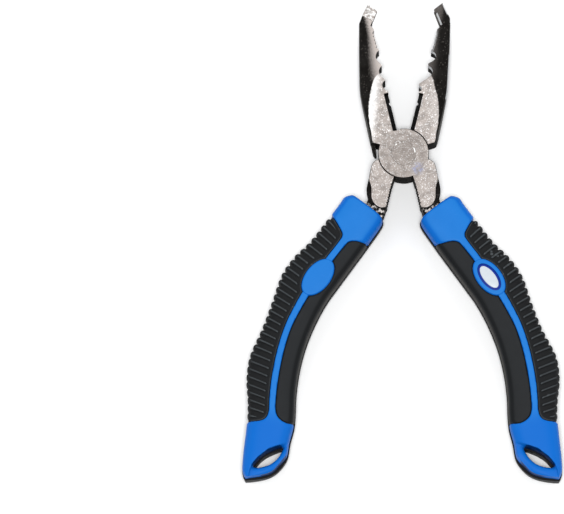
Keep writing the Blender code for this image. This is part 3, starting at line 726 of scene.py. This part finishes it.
def add_ribs(surface):
    """Sink the rubber and leave the ribs standing, each a bar with a rounded inner end."""
    outer = handle_lines(surface.side)[1]
    outer_length = running_length(outer)
    start = float(np.interp(-RIB_START_Y, -outer[:, 1], outer_length))
    end = float(np.interp(-RIB_END_Y, -outer[:, 1], outer_length))
    pitch = (end - start) / RIB_COUNT
    inwards = (1.0 - surface.across) * surface.half_width
    travel = surface.along - start - RIB_SKEW * inwards
    offset = (travel / pitch - np.floor(travel / pitch) - 0.5) * pitch
    border = depth_inside(surface.x, surface.y, grip_outline())
    boss = -depth_inside(surface.x, surface.y, boss_outline())
    past_end = np.maximum(0.0, RIB_MARGIN + RIB_HALF - np.minimum(border, boss))
    half = RIB_HALF + (LOBE_HALF - RIB_HALF) * smoothstep(LOBE_REACH, 0.0, inwards)
    outside_range = np.maximum(0.0, np.maximum(-travel, travel - (end - start)))
    gap = np.hypot(np.hypot(offset, past_end), outside_range * 3.0) / half
    bar = np.sqrt(np.clip(1.0 - gap**2, 0.0, 1.0))
    side_depth = LOW_LOBE_DEPTH + (LOBE_DEPTH - LOW_LOBE_DEPTH) * smoothstep(*LOBE_CHANGE, surface.y)
    depth = RIB_DEPTH + (side_depth - RIB_DEPTH) * smoothstep(2 * LOBE_REACH, 0.3, inwards)
    surface.push((bar - 1.0) * depth - RIB_SAFETY)


def soften_border(surface, outline, inside, radius=EDGE_ROUND):
    """Round the surface off towards a border that it meets."""
    distance = depth_inside(surface.x, surface.y, outline)
    if not inside:
        distance = -distance
    surface.push(-rounded_drop(np.maximum(distance - SEAM, 0.0), radius) * (distance > -2.0))


def build_rubber(name, surface, outline, material, body):
    """The rubber that fills an outline on a handle's front, up to the boss."""
    side = surface.side
    soften_border(surface, outline, True)
    soften_border(surface, boss_outline(), False)
    rubber = surface.solid()
    keep_inside(rubber, column(grow(outline, -SEAM), side))
    cut(rubber, column(grow(boss_outline(), SEAM), side))
    open_the_socket(rubber, side)
    place(rubber, name + "_rubber", material, body, [name], RUBBER_SMOOTH_DEG)


def build_grip(prefix, side, material, body):
    surface = HandleSurface(side, True, 0.24, 92)
    add_ribs(surface)
    build_rubber(prefix + "_ribbed_grip", surface, grip_outline(), material, body)


def build_pad(prefix, side, material, body):
    surface = HandleSurface(side, True, 0.5, 80)
    surface.push(-PAD_SINK)
    build_rubber(prefix + "_inner_pad", surface, pad_outline(), material, body)


def lower_the_rim(surface):
    """Step the loop's rim down from the handle's face and round it."""
    beyond = depth_inside(surface.x, surface.y, [Vector(point) for point in LOOP_STEP])
    hole = -depth_inside(surface.x, surface.y, hole_outline())
    step = smoothstep(*STEP_SLOPE, beyond)
    ceiling = RIM_TOP - rounded_drop(hole, RIM_ROUND)
    lowered = surface.z + (np.minimum(surface.z, ceiling) - surface.z) * step
    surface.z = np.where(step > 0.0, lowered, surface.z) - rounded_drop(hole, HOLE_ROUND) * (1.0 - step)


def open_the_socket(solid, side):
    """The socket that the tang and its shank sit in."""
    gap = SOCKET_GAP
    cut(solid, prism(grow(smooth_loop(TANG_BODY, 3), gap), -TANG_BODY_HALF - gap, TANG_BODY_HALF + gap, side))
    cut(solid, prism(shank_outline(gap), -SHANK_HALF - gap, SHANK_HALF + gap, side))


def boss_solid(side):
    """The oval boss with its rounded rim."""
    levels = [(boss_outline(), PARTING_Z + PARTING_GAP)]
    across, drop = BOSS_ROUND
    for step in range(7):
        angle = math.pi / 2 * step / 6
        inset = grow(boss_outline(), -across * (1.0 - math.cos(angle)))
        levels.append((inset, BOSS_TOP - drop + drop * math.sin(angle)))
    return stack("boss", levels, side)


def build_front_shell(prefix, side, material, body, with_badge):
    surface = HandleSurface(side, True, 0.4, 84)
    borders = (grip_outline(), pad_outline())
    for border in borders:
        soften_border(surface, border, False, SHELL_ROUND)
    lower_the_rim(surface)
    inner_side = np.clip(-surface.across, 0.0, 1.0) ** 3
    foot = smoothstep(-130.0, -136.0, surface.y) * smoothstep(33.0, 29.0, surface.x)
    surface.push(-inner_side * (SET_BACK_SIDE + (SET_BACK_LOOP - SET_BACK_SIDE) * foot))
    surface.y = surface.y + FOOT_SHORT * smoothstep(-138.0, -143.0, surface.y)
    shell = surface.solid()
    for border in borders:
        cut(shell, column(grow(border, SEAM), side))
    join(shell, boss_solid(side))
    open_the_socket(shell, side)
    cut(shell, column(hole_outline(), side))
    if with_badge:
        base = [half + 0.05 for half in BADGE_BASE_HALF]
        cut(shell, prism(boss_outline(base), BADGE_FLOOR, FAR, side))
    name = prefix + "_front_shell"
    place(shell, name + "_plastic", material, body, [name])


def build_back_shell(prefix, side, material, body):
    surface = HandleSurface(side, False, 0.6, 72)
    span = smoothstep(-29.0, -33.0, surface.y) * smoothstep(-125.0, -121.0, surface.y)
    surface.push(-RIB_DEPTH * span * np.clip(surface.across, 0.0, 1.0) ** 6 - RIB_SAFETY)
    hole = -depth_inside(surface.x, surface.y, hole_outline())
    surface.z = surface.z - rounded_drop(hole, BACK_HOLE_ROUND)
    shell = surface.solid()
    open_the_socket(shell, side)
    cut(shell, column(hole_outline(BACK_HOLE_SHIFT), side))
    name = prefix + "_back_shell"
    place(shell, name + "_plastic", material, body, [name])


def domed_oval(half, low, high, edge, dome):
    """A thin oval plate with a softened rim and a slightly domed face."""
    centre = Vector(BOSS_CENTRE)
    levels = [(1.0, low), (1.0, high - edge - dome)]
    for step in range(1, 9):
        angle = math.pi / 2 * step / 8
        levels.append((math.cos(angle * 0.96), high - (edge + dome) * (1.0 - math.sin(angle))))
    outline = boss_outline(half)
    scaled = [([centre + (point - centre) * scale for point in outline], height) for scale, height in levels]
    return stack("oval", scaled)


def build_badge(materials, body):
    base = domed_oval(BADGE_BASE_HALF, BADGE_FLOOR + 0.02, BOSS_TOP - 0.35, 0.0, 0.05)
    place(base, "badge_base_inlay", materials["badge_base"], body, ["badge_base"])
    face = domed_oval(BADGE_PLATE_HALF, BOSS_TOP - 0.45, BOSS_TOP + 0.08, 0.15, 0.2)
    place(face, "badge_plate_inlay", materials["badge_plate"], body, ["badge_plate"])


# ---- materials

class Shader:
    """A node material built one node at a time, with coordinates in millimetres."""

    def __init__(self, name, swing=0.0):
        self.material = bpy.data.materials.new(name)
        self.material.use_nodes = True
        self.tree = self.material.node_tree
        self.surface = self.tree.nodes["Principled BSDF"]
        coordinates = self.add("ShaderNodeTexCoord")
        closed = self.add("ShaderNodeVectorRotate", {"Vector": coordinates.outputs["Object"]})
        closed.rotation_type = "Z_AXIS"
        closed.inputs["Center"].default_value = PIVOT
        closed.inputs["Angle"].default_value = math.radians(-swing)
        offset = self.vector("SUBTRACT", closed.outputs[0], tuple(PIVOT))
        self.mm = self.vector("MULTIPLY", offset, (1000.0, 1000.0, 1000.0))

    def add(self, kind, inputs=(), **settings):
        node = self.tree.nodes.new(kind)
        for key, value in settings.items():
            setattr(node, key, value)
        for key, value in dict(inputs).items():
            self.plug(node.inputs[key], value)
        return node

    def plug(self, socket, value):
        if isinstance(value, bpy.types.NodeSocket):
            self.tree.links.new(value, socket)
        elif isinstance(value, tuple) and len(value) == 3 and socket.type == "RGBA":
            socket.default_value = (*value, 1.0)
        else:
            socket.default_value = value

    def set(self, **inputs):
        for key, value in inputs.items():
            self.plug(self.surface.inputs[key.replace("_", " ")], value)

    def vector(self, operation, first, second):
        return self.add("ShaderNodeVectorMath", {0: first, 1: second}, operation=operation).outputs[0]

    def math(self, operation, first, second=0.0):
        return self.add("ShaderNodeMath", {0: first, 1: second}, operation=operation).outputs[0]

    def ramp(self, value, low, high, out_low=0.0, out_high=1.0):
        inputs = {0: value, 1: low, 2: high, 3: out_low, 4: out_high}
        return self.add("ShaderNodeMapRange", inputs, interpolation_type="SMOOTHSTEP").outputs[0]

    def noise(self, scale, detail=3.0, roughness=0.55, stretch=None):
        vector = self.mm if stretch is None else self.vector("MULTIPLY", self.mm, stretch)
        inputs = {"Vector": vector, "Scale": scale, "Detail": detail, "Roughness": roughness}
        return self.add("ShaderNodeTexNoise", inputs).outputs[0]

    def split(self, vector):
        return self.add("ShaderNodeSeparateXYZ", {0: vector}).outputs

    def specks(self, size):
        """A random value for each cell of a given size."""
        inputs = {"Vector": self.mm, "Scale": 1.0 / size}
        return self.split(self.add("ShaderNodeTexVoronoi", inputs).outputs["Color"])[0]

    def upright(self):
        """1 where the surface faces up or down, 0 where it is a wall."""
        normal = self.add("ShaderNodeNewGeometry").outputs["Normal"]
        return self.math("ABSOLUTE", self.split(normal)[2])

    def handle_place(self):
        """Distance out from the centreline and along a handle, the same for both handles."""
        x, y, z = self.split(self.mm)
        mirrored = self.add("ShaderNodeCombineXYZ", {0: self.math("ABSOLUTE", x), 1: y, 2: z})
        closed = self.add("ShaderNodeVectorRotate", {"Vector": mirrored.outputs[0]})
        closed.rotation_type = "Z_AXIS"
        closed.inputs["Angle"].default_value = math.radians(-HALF_OPEN_DEG)
        return self.split(closed.outputs[0])

    def product(self, *values):
        result = values[0]
        for value in values[1:]:
            result = self.math("MULTIPLY", result, value)
        return result

    def distance(self, x, y, centre=(0.0, 0.0)):
        """Distance from a centre in the (x, y) plane."""
        side = self.math("SUBTRACT", x, centre[0])
        ahead = self.math("SUBTRACT", y, centre[1])
        return self.math("SQRT", self.math("ADD", self.product(side, side), self.product(ahead, ahead)))

    def near(self, x, y, centre, reach):
        """1 at a centre in the (x, y) plane, fading to 0 at a distance."""
        return self.ramp(self.distance(x, y, centre), reach, 0.3 * reach)

    def mix(self, share, first, second):
        node = self.add("ShaderNodeMix", data_type="RGBA")
        self.plug(node.inputs[0], share)
        self.plug(node.inputs[6], first)
        self.plug(node.inputs[7], second)
        return node.outputs[2]

    def layers(self, colour, *coats):
        """Lay coats over a colour, each a (share, colour) pair."""
        for share, coat in coats:
            colour = self.mix(share, colour, coat)
        return colour

    def blend(self, share, first, second):
        node = self.add("ShaderNodeMix", data_type="FLOAT")
        self.plug(node.inputs[0], share)
        self.plug(node.inputs[2], first)
        self.plug(node.inputs[3], second)
        return node.outputs[0]

    def bump(self, height, strength, distance_mm):
        inputs = {"Height": height, "Strength": strength, "Distance": distance_mm * MM}
        node = self.add("ShaderNodeBump", inputs)
        self.plug(self.surface.inputs["Normal"], node.outputs[0])


def ground_colour(shader):
    """Bright ground steel with blotches, specks, pits and fine scratches; and its relief."""
    mix, ramp, product, noise = shader.mix, shader.ramp, shader.product, shader.noise
    cloud = noise(0.35, 4.0)
    grit = noise(2.4, 2.0, 0.7)
    specks = shader.specks(0.27)
    pits = ramp(noise(1.5, 3.0, 0.6), 0.35, 0.29)
    scratches = ramp(noise(0.9, 2.0, 0.6, (0.3, 3.2, 1.0)), 0.62, 0.74)
    colour = mix(ramp(cloud, 0.3, 0.7), (0.41, 0.37, 0.345), (0.54, 0.49, 0.46))
    colour = shader.layers(
        colour,
        (ramp(specks, 0.0, 1.0, 0.5, 0.0), (0.27, 0.235, 0.215)),
        (ramp(grit, 0.4, 0.62, 0.0, 0.36), (0.30, 0.26, 0.24)),
        (product(pits, 0.5), (0.14, 0.12, 0.11)),
        (ramp(specks, 0.88, 0.93, 0.0, 0.85), (0.95, 0.95, 0.95)),
        (product(scratches, 0.2), (0.85, 0.84, 0.82)),
    )
    relief = shader.math("SUBTRACT", product(grit, 0.6), pits)
    relief = shader.math("ADD", relief, product(scratches, 0.4))
    return colour, cloud, relief


def steel_masks(shader, jaw_side, wear_and_sheen):
    """Where the lever is ground, polished at its tip and chipped, where its inner edge shows wear, and where
    highlights and a sheen are painted on it, as values from 0 to 1.
    """
    ramp, product, noise = shader.ramp, shader.product, shader.noise
    x, along, z = shader.split(shader.mm)
    out = product(x, jaw_side)
    upright = shader.upright()
    height = shader.math("ABSOLUTE", z)
    grain = noise(2.2, 3.0, 0.65)
    level = ramp(height, JOINT_HALF - 0.07, JOINT_HALF - 0.02)
    tongue = product(ramp(height, TONGUE_HALF + 0.06, TONGUE_HALF + 0.02),
                            ramp(along, 48.0, 49.0, 0.0, wear_and_sheen))
    ground = product(shader.math("MAXIMUM", level, tongue), ramp(upright, 0.93, 0.985))
    wobble = product(shader.math("SUBTRACT", grain, 0.5), 2.6)
    # A highlight painted on the ground face, stronger towards the outer side and along the jaw.
    slant = shader.math("ADD", shader.math("ADD", out, wobble), product(along, 0.35))
    edge_highlight = product(ramp(slant, 11.6, 16.0), ramp(along, 2.0, 14.0), level, wear_and_sheen)
    # Along the inner edge the forging is painted lighter: partly wear, partly a painted sheen.
    width = ramp(along, 34.0, 56.0, 6.2, 2.8)
    rub_and_sheen = ramp(shader.math("ADD", out, wobble), width, 0.4)
    teeth = product(ramp(along, 44.6, 45.4), ramp(along, 53.4, 52.6), 0.4)
    seen = shader.math("MAXIMUM", ramp(upright, 0.35, 0.8), teeth)
    rub_and_sheen = product(rub_and_sheen, ramp(along, 20.0, 32.0), seen, wear_and_sheen)
    # A rim highlight painted on the outer walls of the jaw.
    rim = product(ramp(upright, 0.42, 0.25), ramp(out, 5.0, 6.0), ramp(along, 6.0, 14.0))
    chips = product(ramp(along, -22.5, -24.0), ramp(noise(0.9, 2.0), 0.48, 0.6), ramp(upright, 0.6, 0.9))
    return {
        "out": out, "along": along, "z": z, "upright": upright, "grain": grain, "ground": ground,
        "tongue": tongue, "edge_highlight": edge_highlight, "rub_and_sheen": rub_and_sheen, "chips": chips, "rim": rim,
        "disc": ramp(shader.distance(out, along), 12.0, 8.5),
    }


def nest_highlights(shader, at):
    """Highlights painted on the upper half of the rear jaw's nests and along its rim, with the fork prong's
    ground bevel.
    """
    ramp, product = shader.ramp, shader.product
    wall = ramp(at["upright"], 0.5, 0.2)
    nests = product(wall, ramp(at["z"], 0.8, 1.6), ramp(at["along"], 26.0, 27.0),
                           ramp(at["along"], 45.5, 44.5))
    rim = product(ramp(at["out"], 2.1, 1.4), ramp(at["along"], 43.0, 46.0),
                         ramp(at["along"], 54.0, 51.0, 0.0, 0.5), ramp(at["z"], 2.5, 3.2))
    sloping = product(ramp(at["upright"], 0.1, 0.2), ramp(at["upright"], 0.75, 0.6))
    prong = product(sloping, ramp(at["along"], 54.5, 55.5), ramp(at["out"], 4.0, 3.4))
    return shader.math("MAXIMUM", shader.math("MAXIMUM", nests, rim), prong)


def steel_material(name, swing, jaw_side, wear_and_sheen):
    """Dark forging with bright ground faces; the last argument sets how polished its tip is and how strong
    the wear and the painted highlights and sheen on its edges are.
    """
    shader = Shader(name, swing)
    mix, ramp, product, noise = shader.mix, shader.ramp, shader.product, shader.noise
    at = steel_masks(shader, jaw_side, wear_and_sheen)
    bright, cloud, relief_ground = ground_colour(shader)
    blotches = ramp(noise(0.8, 3.0), 0.45, 0.6)
    bright = shader.layers(
        bright,
        (product(at["tongue"], blotches), (0.93, 0.92, 0.91)),
        # painted highlight on the ground face
        (product(at["edge_highlight"], 0.85), (0.95, 0.94, 0.93)),
        (product(at["disc"], 0.4), (0.20, 0.175, 0.16)),
        (ramp(at["along"], -3.0, -12.0, 0.0, 0.3), (0.24, 0.21, 0.195)),
    )
    if wear_and_sheen == 1.0:
        stain = product(shader.near(at["out"], at["along"], STAIN_PLACE, 3.4),
                               ramp(noise(0.9, 2.0), 0.42, 0.6, 0.1, 0.7))
        bright = mix(stain, bright, (0.27, 0.29, 0.43))
    cloudy = ramp(noise(0.35, 4.0), 0.3, 0.7)
    dark = mix(cloudy, (0.008, 0.0072, 0.0065), (0.014, 0.013, 0.012))
    dust = product(ramp(shader.specks(0.4), 0.93, 0.97), ramp(at["upright"], 0.4, 0.8, 0.0, 0.4))
    # Painted shade: the side cutter's bevels are painted black.
    bevel = product(ramp(at["out"], 2.7, 2.3), ramp(at["along"], 26.4, 26.0), ramp(at["along"], 8.8, 9.4))
    dark = shader.layers(
        dark,
        (dust, (0.12, 0.11, 0.10)),
        # painted rim highlight
        (product(at["rim"], 0.8), (0.11, 0.108, 0.103)),
        # wear and a painted sheen along the inner edge
        (at["rub_and_sheen"], (0.60, 0.54, 0.505)),
        (at["chips"], (0.55, 0.51, 0.48)),
        (bevel, (0.002, 0.002, 0.002)),
    )
    shine = shader.math("MAXIMUM", at["rub_and_sheen"], at["chips"])
    if wear_and_sheen < 1.0:
        # Highlights painted on the rear jaw's nests and rim, with the prong's ground bevel.
        highlights_and_bevel = nest_highlights(shader, at)
        dark = mix(highlights_and_bevel, dark, (0.62, 0.63, 0.64))
    shader.set(Base_Color=mix(at["ground"], dark, bright), Specular_IOR_Level=0.005)
    shader.set(Metallic=shader.math("MAXIMUM", at["ground"], shine))
    rough_ground = shader.blend(ramp(cloud, 0.35, 0.65), 0.36, 0.5)
    rough_forged = ramp(at["grain"], 0.3, 0.7, 0.4, 0.6)
    shader.set(Roughness=shader.blend(at["ground"], rough_forged, rough_ground))
    relief_forged = shader.math("ADD", product(noise(0.7, 4.0), 2.0), at["grain"])
    shader.bump(shader.blend(at["ground"], relief_forged, relief_ground), 0.6, 0.05)
    return shader.material


def rivet_material():
    """Ground steel, a little darker, with glints painted on its rim in places."""
    shader = Shader("rivet_steel", HALF_OPEN_DEG)
    mix, ramp, product, noise = shader.mix, shader.ramp, shader.product, shader.noise
    x, y, _ = shader.split(shader.mm)
    colour, cloud, relief = ground_colour(shader)
    colour = mix(0.5, colour, (0.19, 0.165, 0.15))
    past_rim = shader.math("SUBTRACT", shader.distance(x, y), HEAD_R - 0.3)
    rim = ramp(shader.math("ABSOLUTE", past_rim), 0.28, 0.1)
    # Glints painted on the rivet's rim, on its far side only.
    far_side = ramp(shader.math("ADD", x, product(y, 0.8)), 0.2, 1.2)
    glints = product(rim, far_side, ramp(noise(0.45, 2.0), 0.52, 0.58))
    colour = mix(glints, colour, (0.97, 0.97, 0.95))
    shader.set(Base_Color=colour, Metallic=1.0, Roughness=shader.blend(cloud, 0.3, 0.48))
    shader.bump(relief, 0.7, 0.05)
    return shader.material


def blue_material():
    """Satin blue plastic with painted shade on its slopes, a deeper blue round the loop, and painted shade
    inside the lanyard hole.
    """
    shader = Shader("blue_plastic")
    mix, ramp, product, noise = shader.mix, shader.ramp, shader.product, shader.noise
    cloud = noise(0.12, 3.0)
    peel = noise(2.2, 2.0)
    scuffs = ramp(noise(0.9, 3.0, 0.6, (0.4, 2.6, 1.0)), 0.62, 0.75)
    out, along, _ = shader.handle_place()
    colour = mix(cloud, (0.009, 0.150, 0.505), (0.016, 0.178, 0.565))
    colour = mix(product(scuffs, 0.12), colour, (0.08, 0.26, 0.66))
    # Painted shade: sloping faces are painted a deeper blue than the flat tops; the blue is also deeper
    # towards the loop.
    slope_shade_and_loop_tone = shader.math("MAXIMUM", ramp(shader.upright(), 0.98, 0.86), ramp(along, -112.0, -121.0))
    colour = mix(product(slope_shade_and_loop_tone, 0.9), colour, (0.001, 0.118, 0.50))
    # Painted shade on the walls of the lanyard hole.
    hole = product(shader.near(out, along, HOLE_CENTRE, 9.2), ramp(shader.upright(), 0.45, 0.15))
    colour = mix(ramp(hole, 0.1, 0.3, 0.0, 0.85), colour, (0.0, 0.012, 0.06))
    shader.set(Base_Color=colour, Roughness=shader.blend(scuffs, 0.46, 0.55), Specular_IOR_Level=0.09)
    shader.bump(peel, 0.25, 0.03)
    return shader.material


def rubber_material(name, depth, edge, crest):
    """Matt black rubber; edge sets the painted shade and painted bounce light on its rolled sides, crest the
    painted highlights on its ribs.
    """
    shader = Shader(name)
    mix, ramp, product, noise = shader.mix, shader.ramp, shader.product, shader.noise
    grain = noise(5.0, 3.0, 0.65)
    cloud = noise(0.2, 3.0)
    dust = ramp(noise(8.0, 2.0), 0.66, 0.8)
    low = tuple(depth * value for value in (0.80, 0.88, 0.97))
    high = tuple(depth * value for value in (1.08, 1.18, 1.30))
    colour = mix(cloud, low, high)
    upright = shader.upright()
    # Painted shade where the rolled side turns away from the top, and a painted bounce light lower on the
    # side; edge sets how strong both are.
    shoulder = product(ramp(upright, 0.97, 0.88), ramp(upright, 0.60, 0.70), edge)
    colour = mix(shoulder, colour, (0.006, 0.007, 0.008))
    colour = mix(ramp(upright, 0.5, 0.3, 0.0, 0.7 * edge), colour, (0.050, 0.047, 0.043))
    # Painted highlights on the convex rib crests; crest sets how strong they are.
    convex = shader.add("ShaderNodeNewGeometry").outputs["Pointiness"]
    crest_highlight = product(ramp(convex, 0.505, 0.56), ramp(upright, 0.5, 0.9), crest)
    colour = mix(crest_highlight, colour, (0.060, 0.068, 0.074))
    colour = mix(product(dust, 0.4), colour, (0.045, 0.045, 0.045))
    shader.set(Base_Color=colour, Roughness=shader.blend(grain, 0.6, 0.8), Specular_IOR_Level=0.15)
    shader.bump(grain, 0.7, 0.05)
    return shader.material


def back_material():
    shader = Shader("black_plastic")
    grain = shader.noise(4.0, 3.0, 0.6)
    cloud = shader.noise(0.15, 3.0)
    colour = shader.mix(cloud, (0.006, 0.0062, 0.007), (0.010, 0.010, 0.0105))
    shader.set(Base_Color=colour, Roughness=shader.blend(cloud, 0.42, 0.58), Specular_IOR_Level=0.06)
    shader.bump(grain, 0.5, 0.04)
    return shader.material


def badge_material(name, first, second, roughness):
    shader = Shader(name)
    cloud = shader.noise(0.5, 3.0)
    shader.set(Base_Color=shader.mix(cloud, first, second), Specular_IOR_Level=0.2)
    shader.set(Roughness=shader.blend(cloud, roughness, roughness + 0.08))
    shader.bump(shader.noise(1.5, 2.0), 0.15, 0.02)
    return shader.material


def floor_material():
    shader = Shader("pale_floor")
    colour = shader.mix(shader.noise(0.02, 2.0), (0.93, 0.93, 0.93), (0.95, 0.95, 0.95))
    shader.set(Base_Color=colour, Roughness=0.85, Specular_IOR_Level=0.1)
    return shader.material


# ---- stage

FLOOR_HALF = 1.6          # metres
FLOOR_DROP = 0.0004
SKY_STRENGTH = 0.42


def add_floor():
    corners = [(FLOOR_HALF * x, FLOOR_HALF * y, 0.0) for x, y in ((-1, -1), (1, -1), (1, 1), (-1, 1))]
    mesh = bpy.data.meshes.new("floor")
    mesh.from_pydata(corners, [], [(0, 1, 2, 3)])
    floor = bpy.data.objects.new("floor", mesh)
    floor.location.z = CAD_BOX[0][2] - FLOOR_DROP
    mesh.materials.append(floor_material())
    bpy.context.scene.collection.objects.link(floor)


def add_light(name, location, size, power):
    """A softbox aimed at the middle of the floor."""
    data = bpy.data.lights.new(name, "AREA")
    data.shape = "RECTANGLE"
    data.size, data.size_y = size
    data.energy = power
    light = bpy.data.objects.new(name, data)
    light.location = location
    light.rotation_mode = "QUATERNION"
    light.rotation_quaternion = (-Vector(location)).to_track_quat("-Z", "Y")
    bpy.context.scene.collection.objects.link(light)


def add_lights():
    """Even light: a key on the camera's axis, and a weak softbox at each side and behind."""
    world = bpy.data.worlds.new("studio")
    world.use_nodes = True
    sky = world.node_tree.nodes["Background"].inputs
    sky["Color"].default_value = (0.97, 0.985, 1.0, 1.0)
    sky["Strength"].default_value = SKY_STRENGTH
    bpy.context.scene.world = world
    add_light("key_softbox", (0.0, -0.31, 1.48), (0.4, 0.4), 16.2)
    add_light("left_softbox", (-1.1, 0.1, 0.68), (0.5, 0.3), 2.4)
    add_light("right_softbox", (1.1, 0.1, 0.68), (0.5, 0.3), 2.4)
    add_light("back_softbox", (0.0, 1.1, 0.68), (0.6, 0.3), 3.6)


def add_camera():
    data = bpy.data.cameras.new("camera")
    data.lens = VIEW_LENS
    data.sensor_width = 36.0
    data.shift_x = VIEW_SHIFT_X
    data.clip_end = 10.0
    camera = bpy.data.objects.new("camera", data)
    elevation = math.radians(VIEW_ELEVATION_DEG)
    back = Vector((0.0, -math.cos(elevation), math.sin(elevation)))
    target = Vector((0.0, VIEW_TARGET_Y * MM, PIVOT.z))
    camera.location = target + back * VIEW_DISTANCE * MM
    camera.rotation_mode = "QUATERNION"
    camera.rotation_quaternion = (-back).to_track_quat("-Z", "Y")
    bpy.context.scene.collection.objects.link(camera)
    bpy.context.scene.camera = camera


def build():
    materials = {
        # The front lever's steel, with wear and painted highlights and sheen.
        "steel_with_painted_sheen": steel_material("steel_with_painted_sheen", HALF_OPEN_DEG, -1.0, 1.0),
        "dark_steel": steel_material("dark_steel", -HALF_OPEN_DEG, 1.0, 0.14),
        "rivet": rivet_material(),
        "shell": blue_material(),
        "grip": rubber_material("ribbed_rubber", 0.0075, 0.0, 0.9),
        "pad": rubber_material("smooth_rubber", 0.0155, 1.0, 0.0),
        "back": back_material(),
        "badge_base": badge_material("badge_blue", (0.0, 0.014, 0.19), (0.0, 0.026, 0.27), 0.25),
        "badge_plate": badge_material("badge_white", (0.50, 0.54, 0.58), (0.58, 0.62, 0.66), 0.3),
    }
    build_lever("front_lever", materials["steel_with_painted_sheen"], FRONT_BODY, -1.0, True)
    build_lever("rear_lever", materials["dark_steel"], REAR_BODY, 1.0, False)
    place(pin_solid(0.0), "pivot_rivet_pin", materials["rivet"], FRONT_BODY, ["pivot_rivet"])
    for prefix, side, body in (("right", 1.0, FRONT_BODY), ("left", -1.0, REAR_BODY)):
        build_front_shell(prefix, side, materials["shell"], body, with_badge=side > 0)
        build_back_shell(prefix, side, materials["back"], body)
        build_grip(prefix, side, materials["grip"], body)
        build_pad(prefix, side, materials["pad"], body)
    build_badge(materials, FRONT_BODY)


build()
add_floor()
add_lights()
add_camera()
bpy.context.scene.view_settings.view_transform = "Standard"
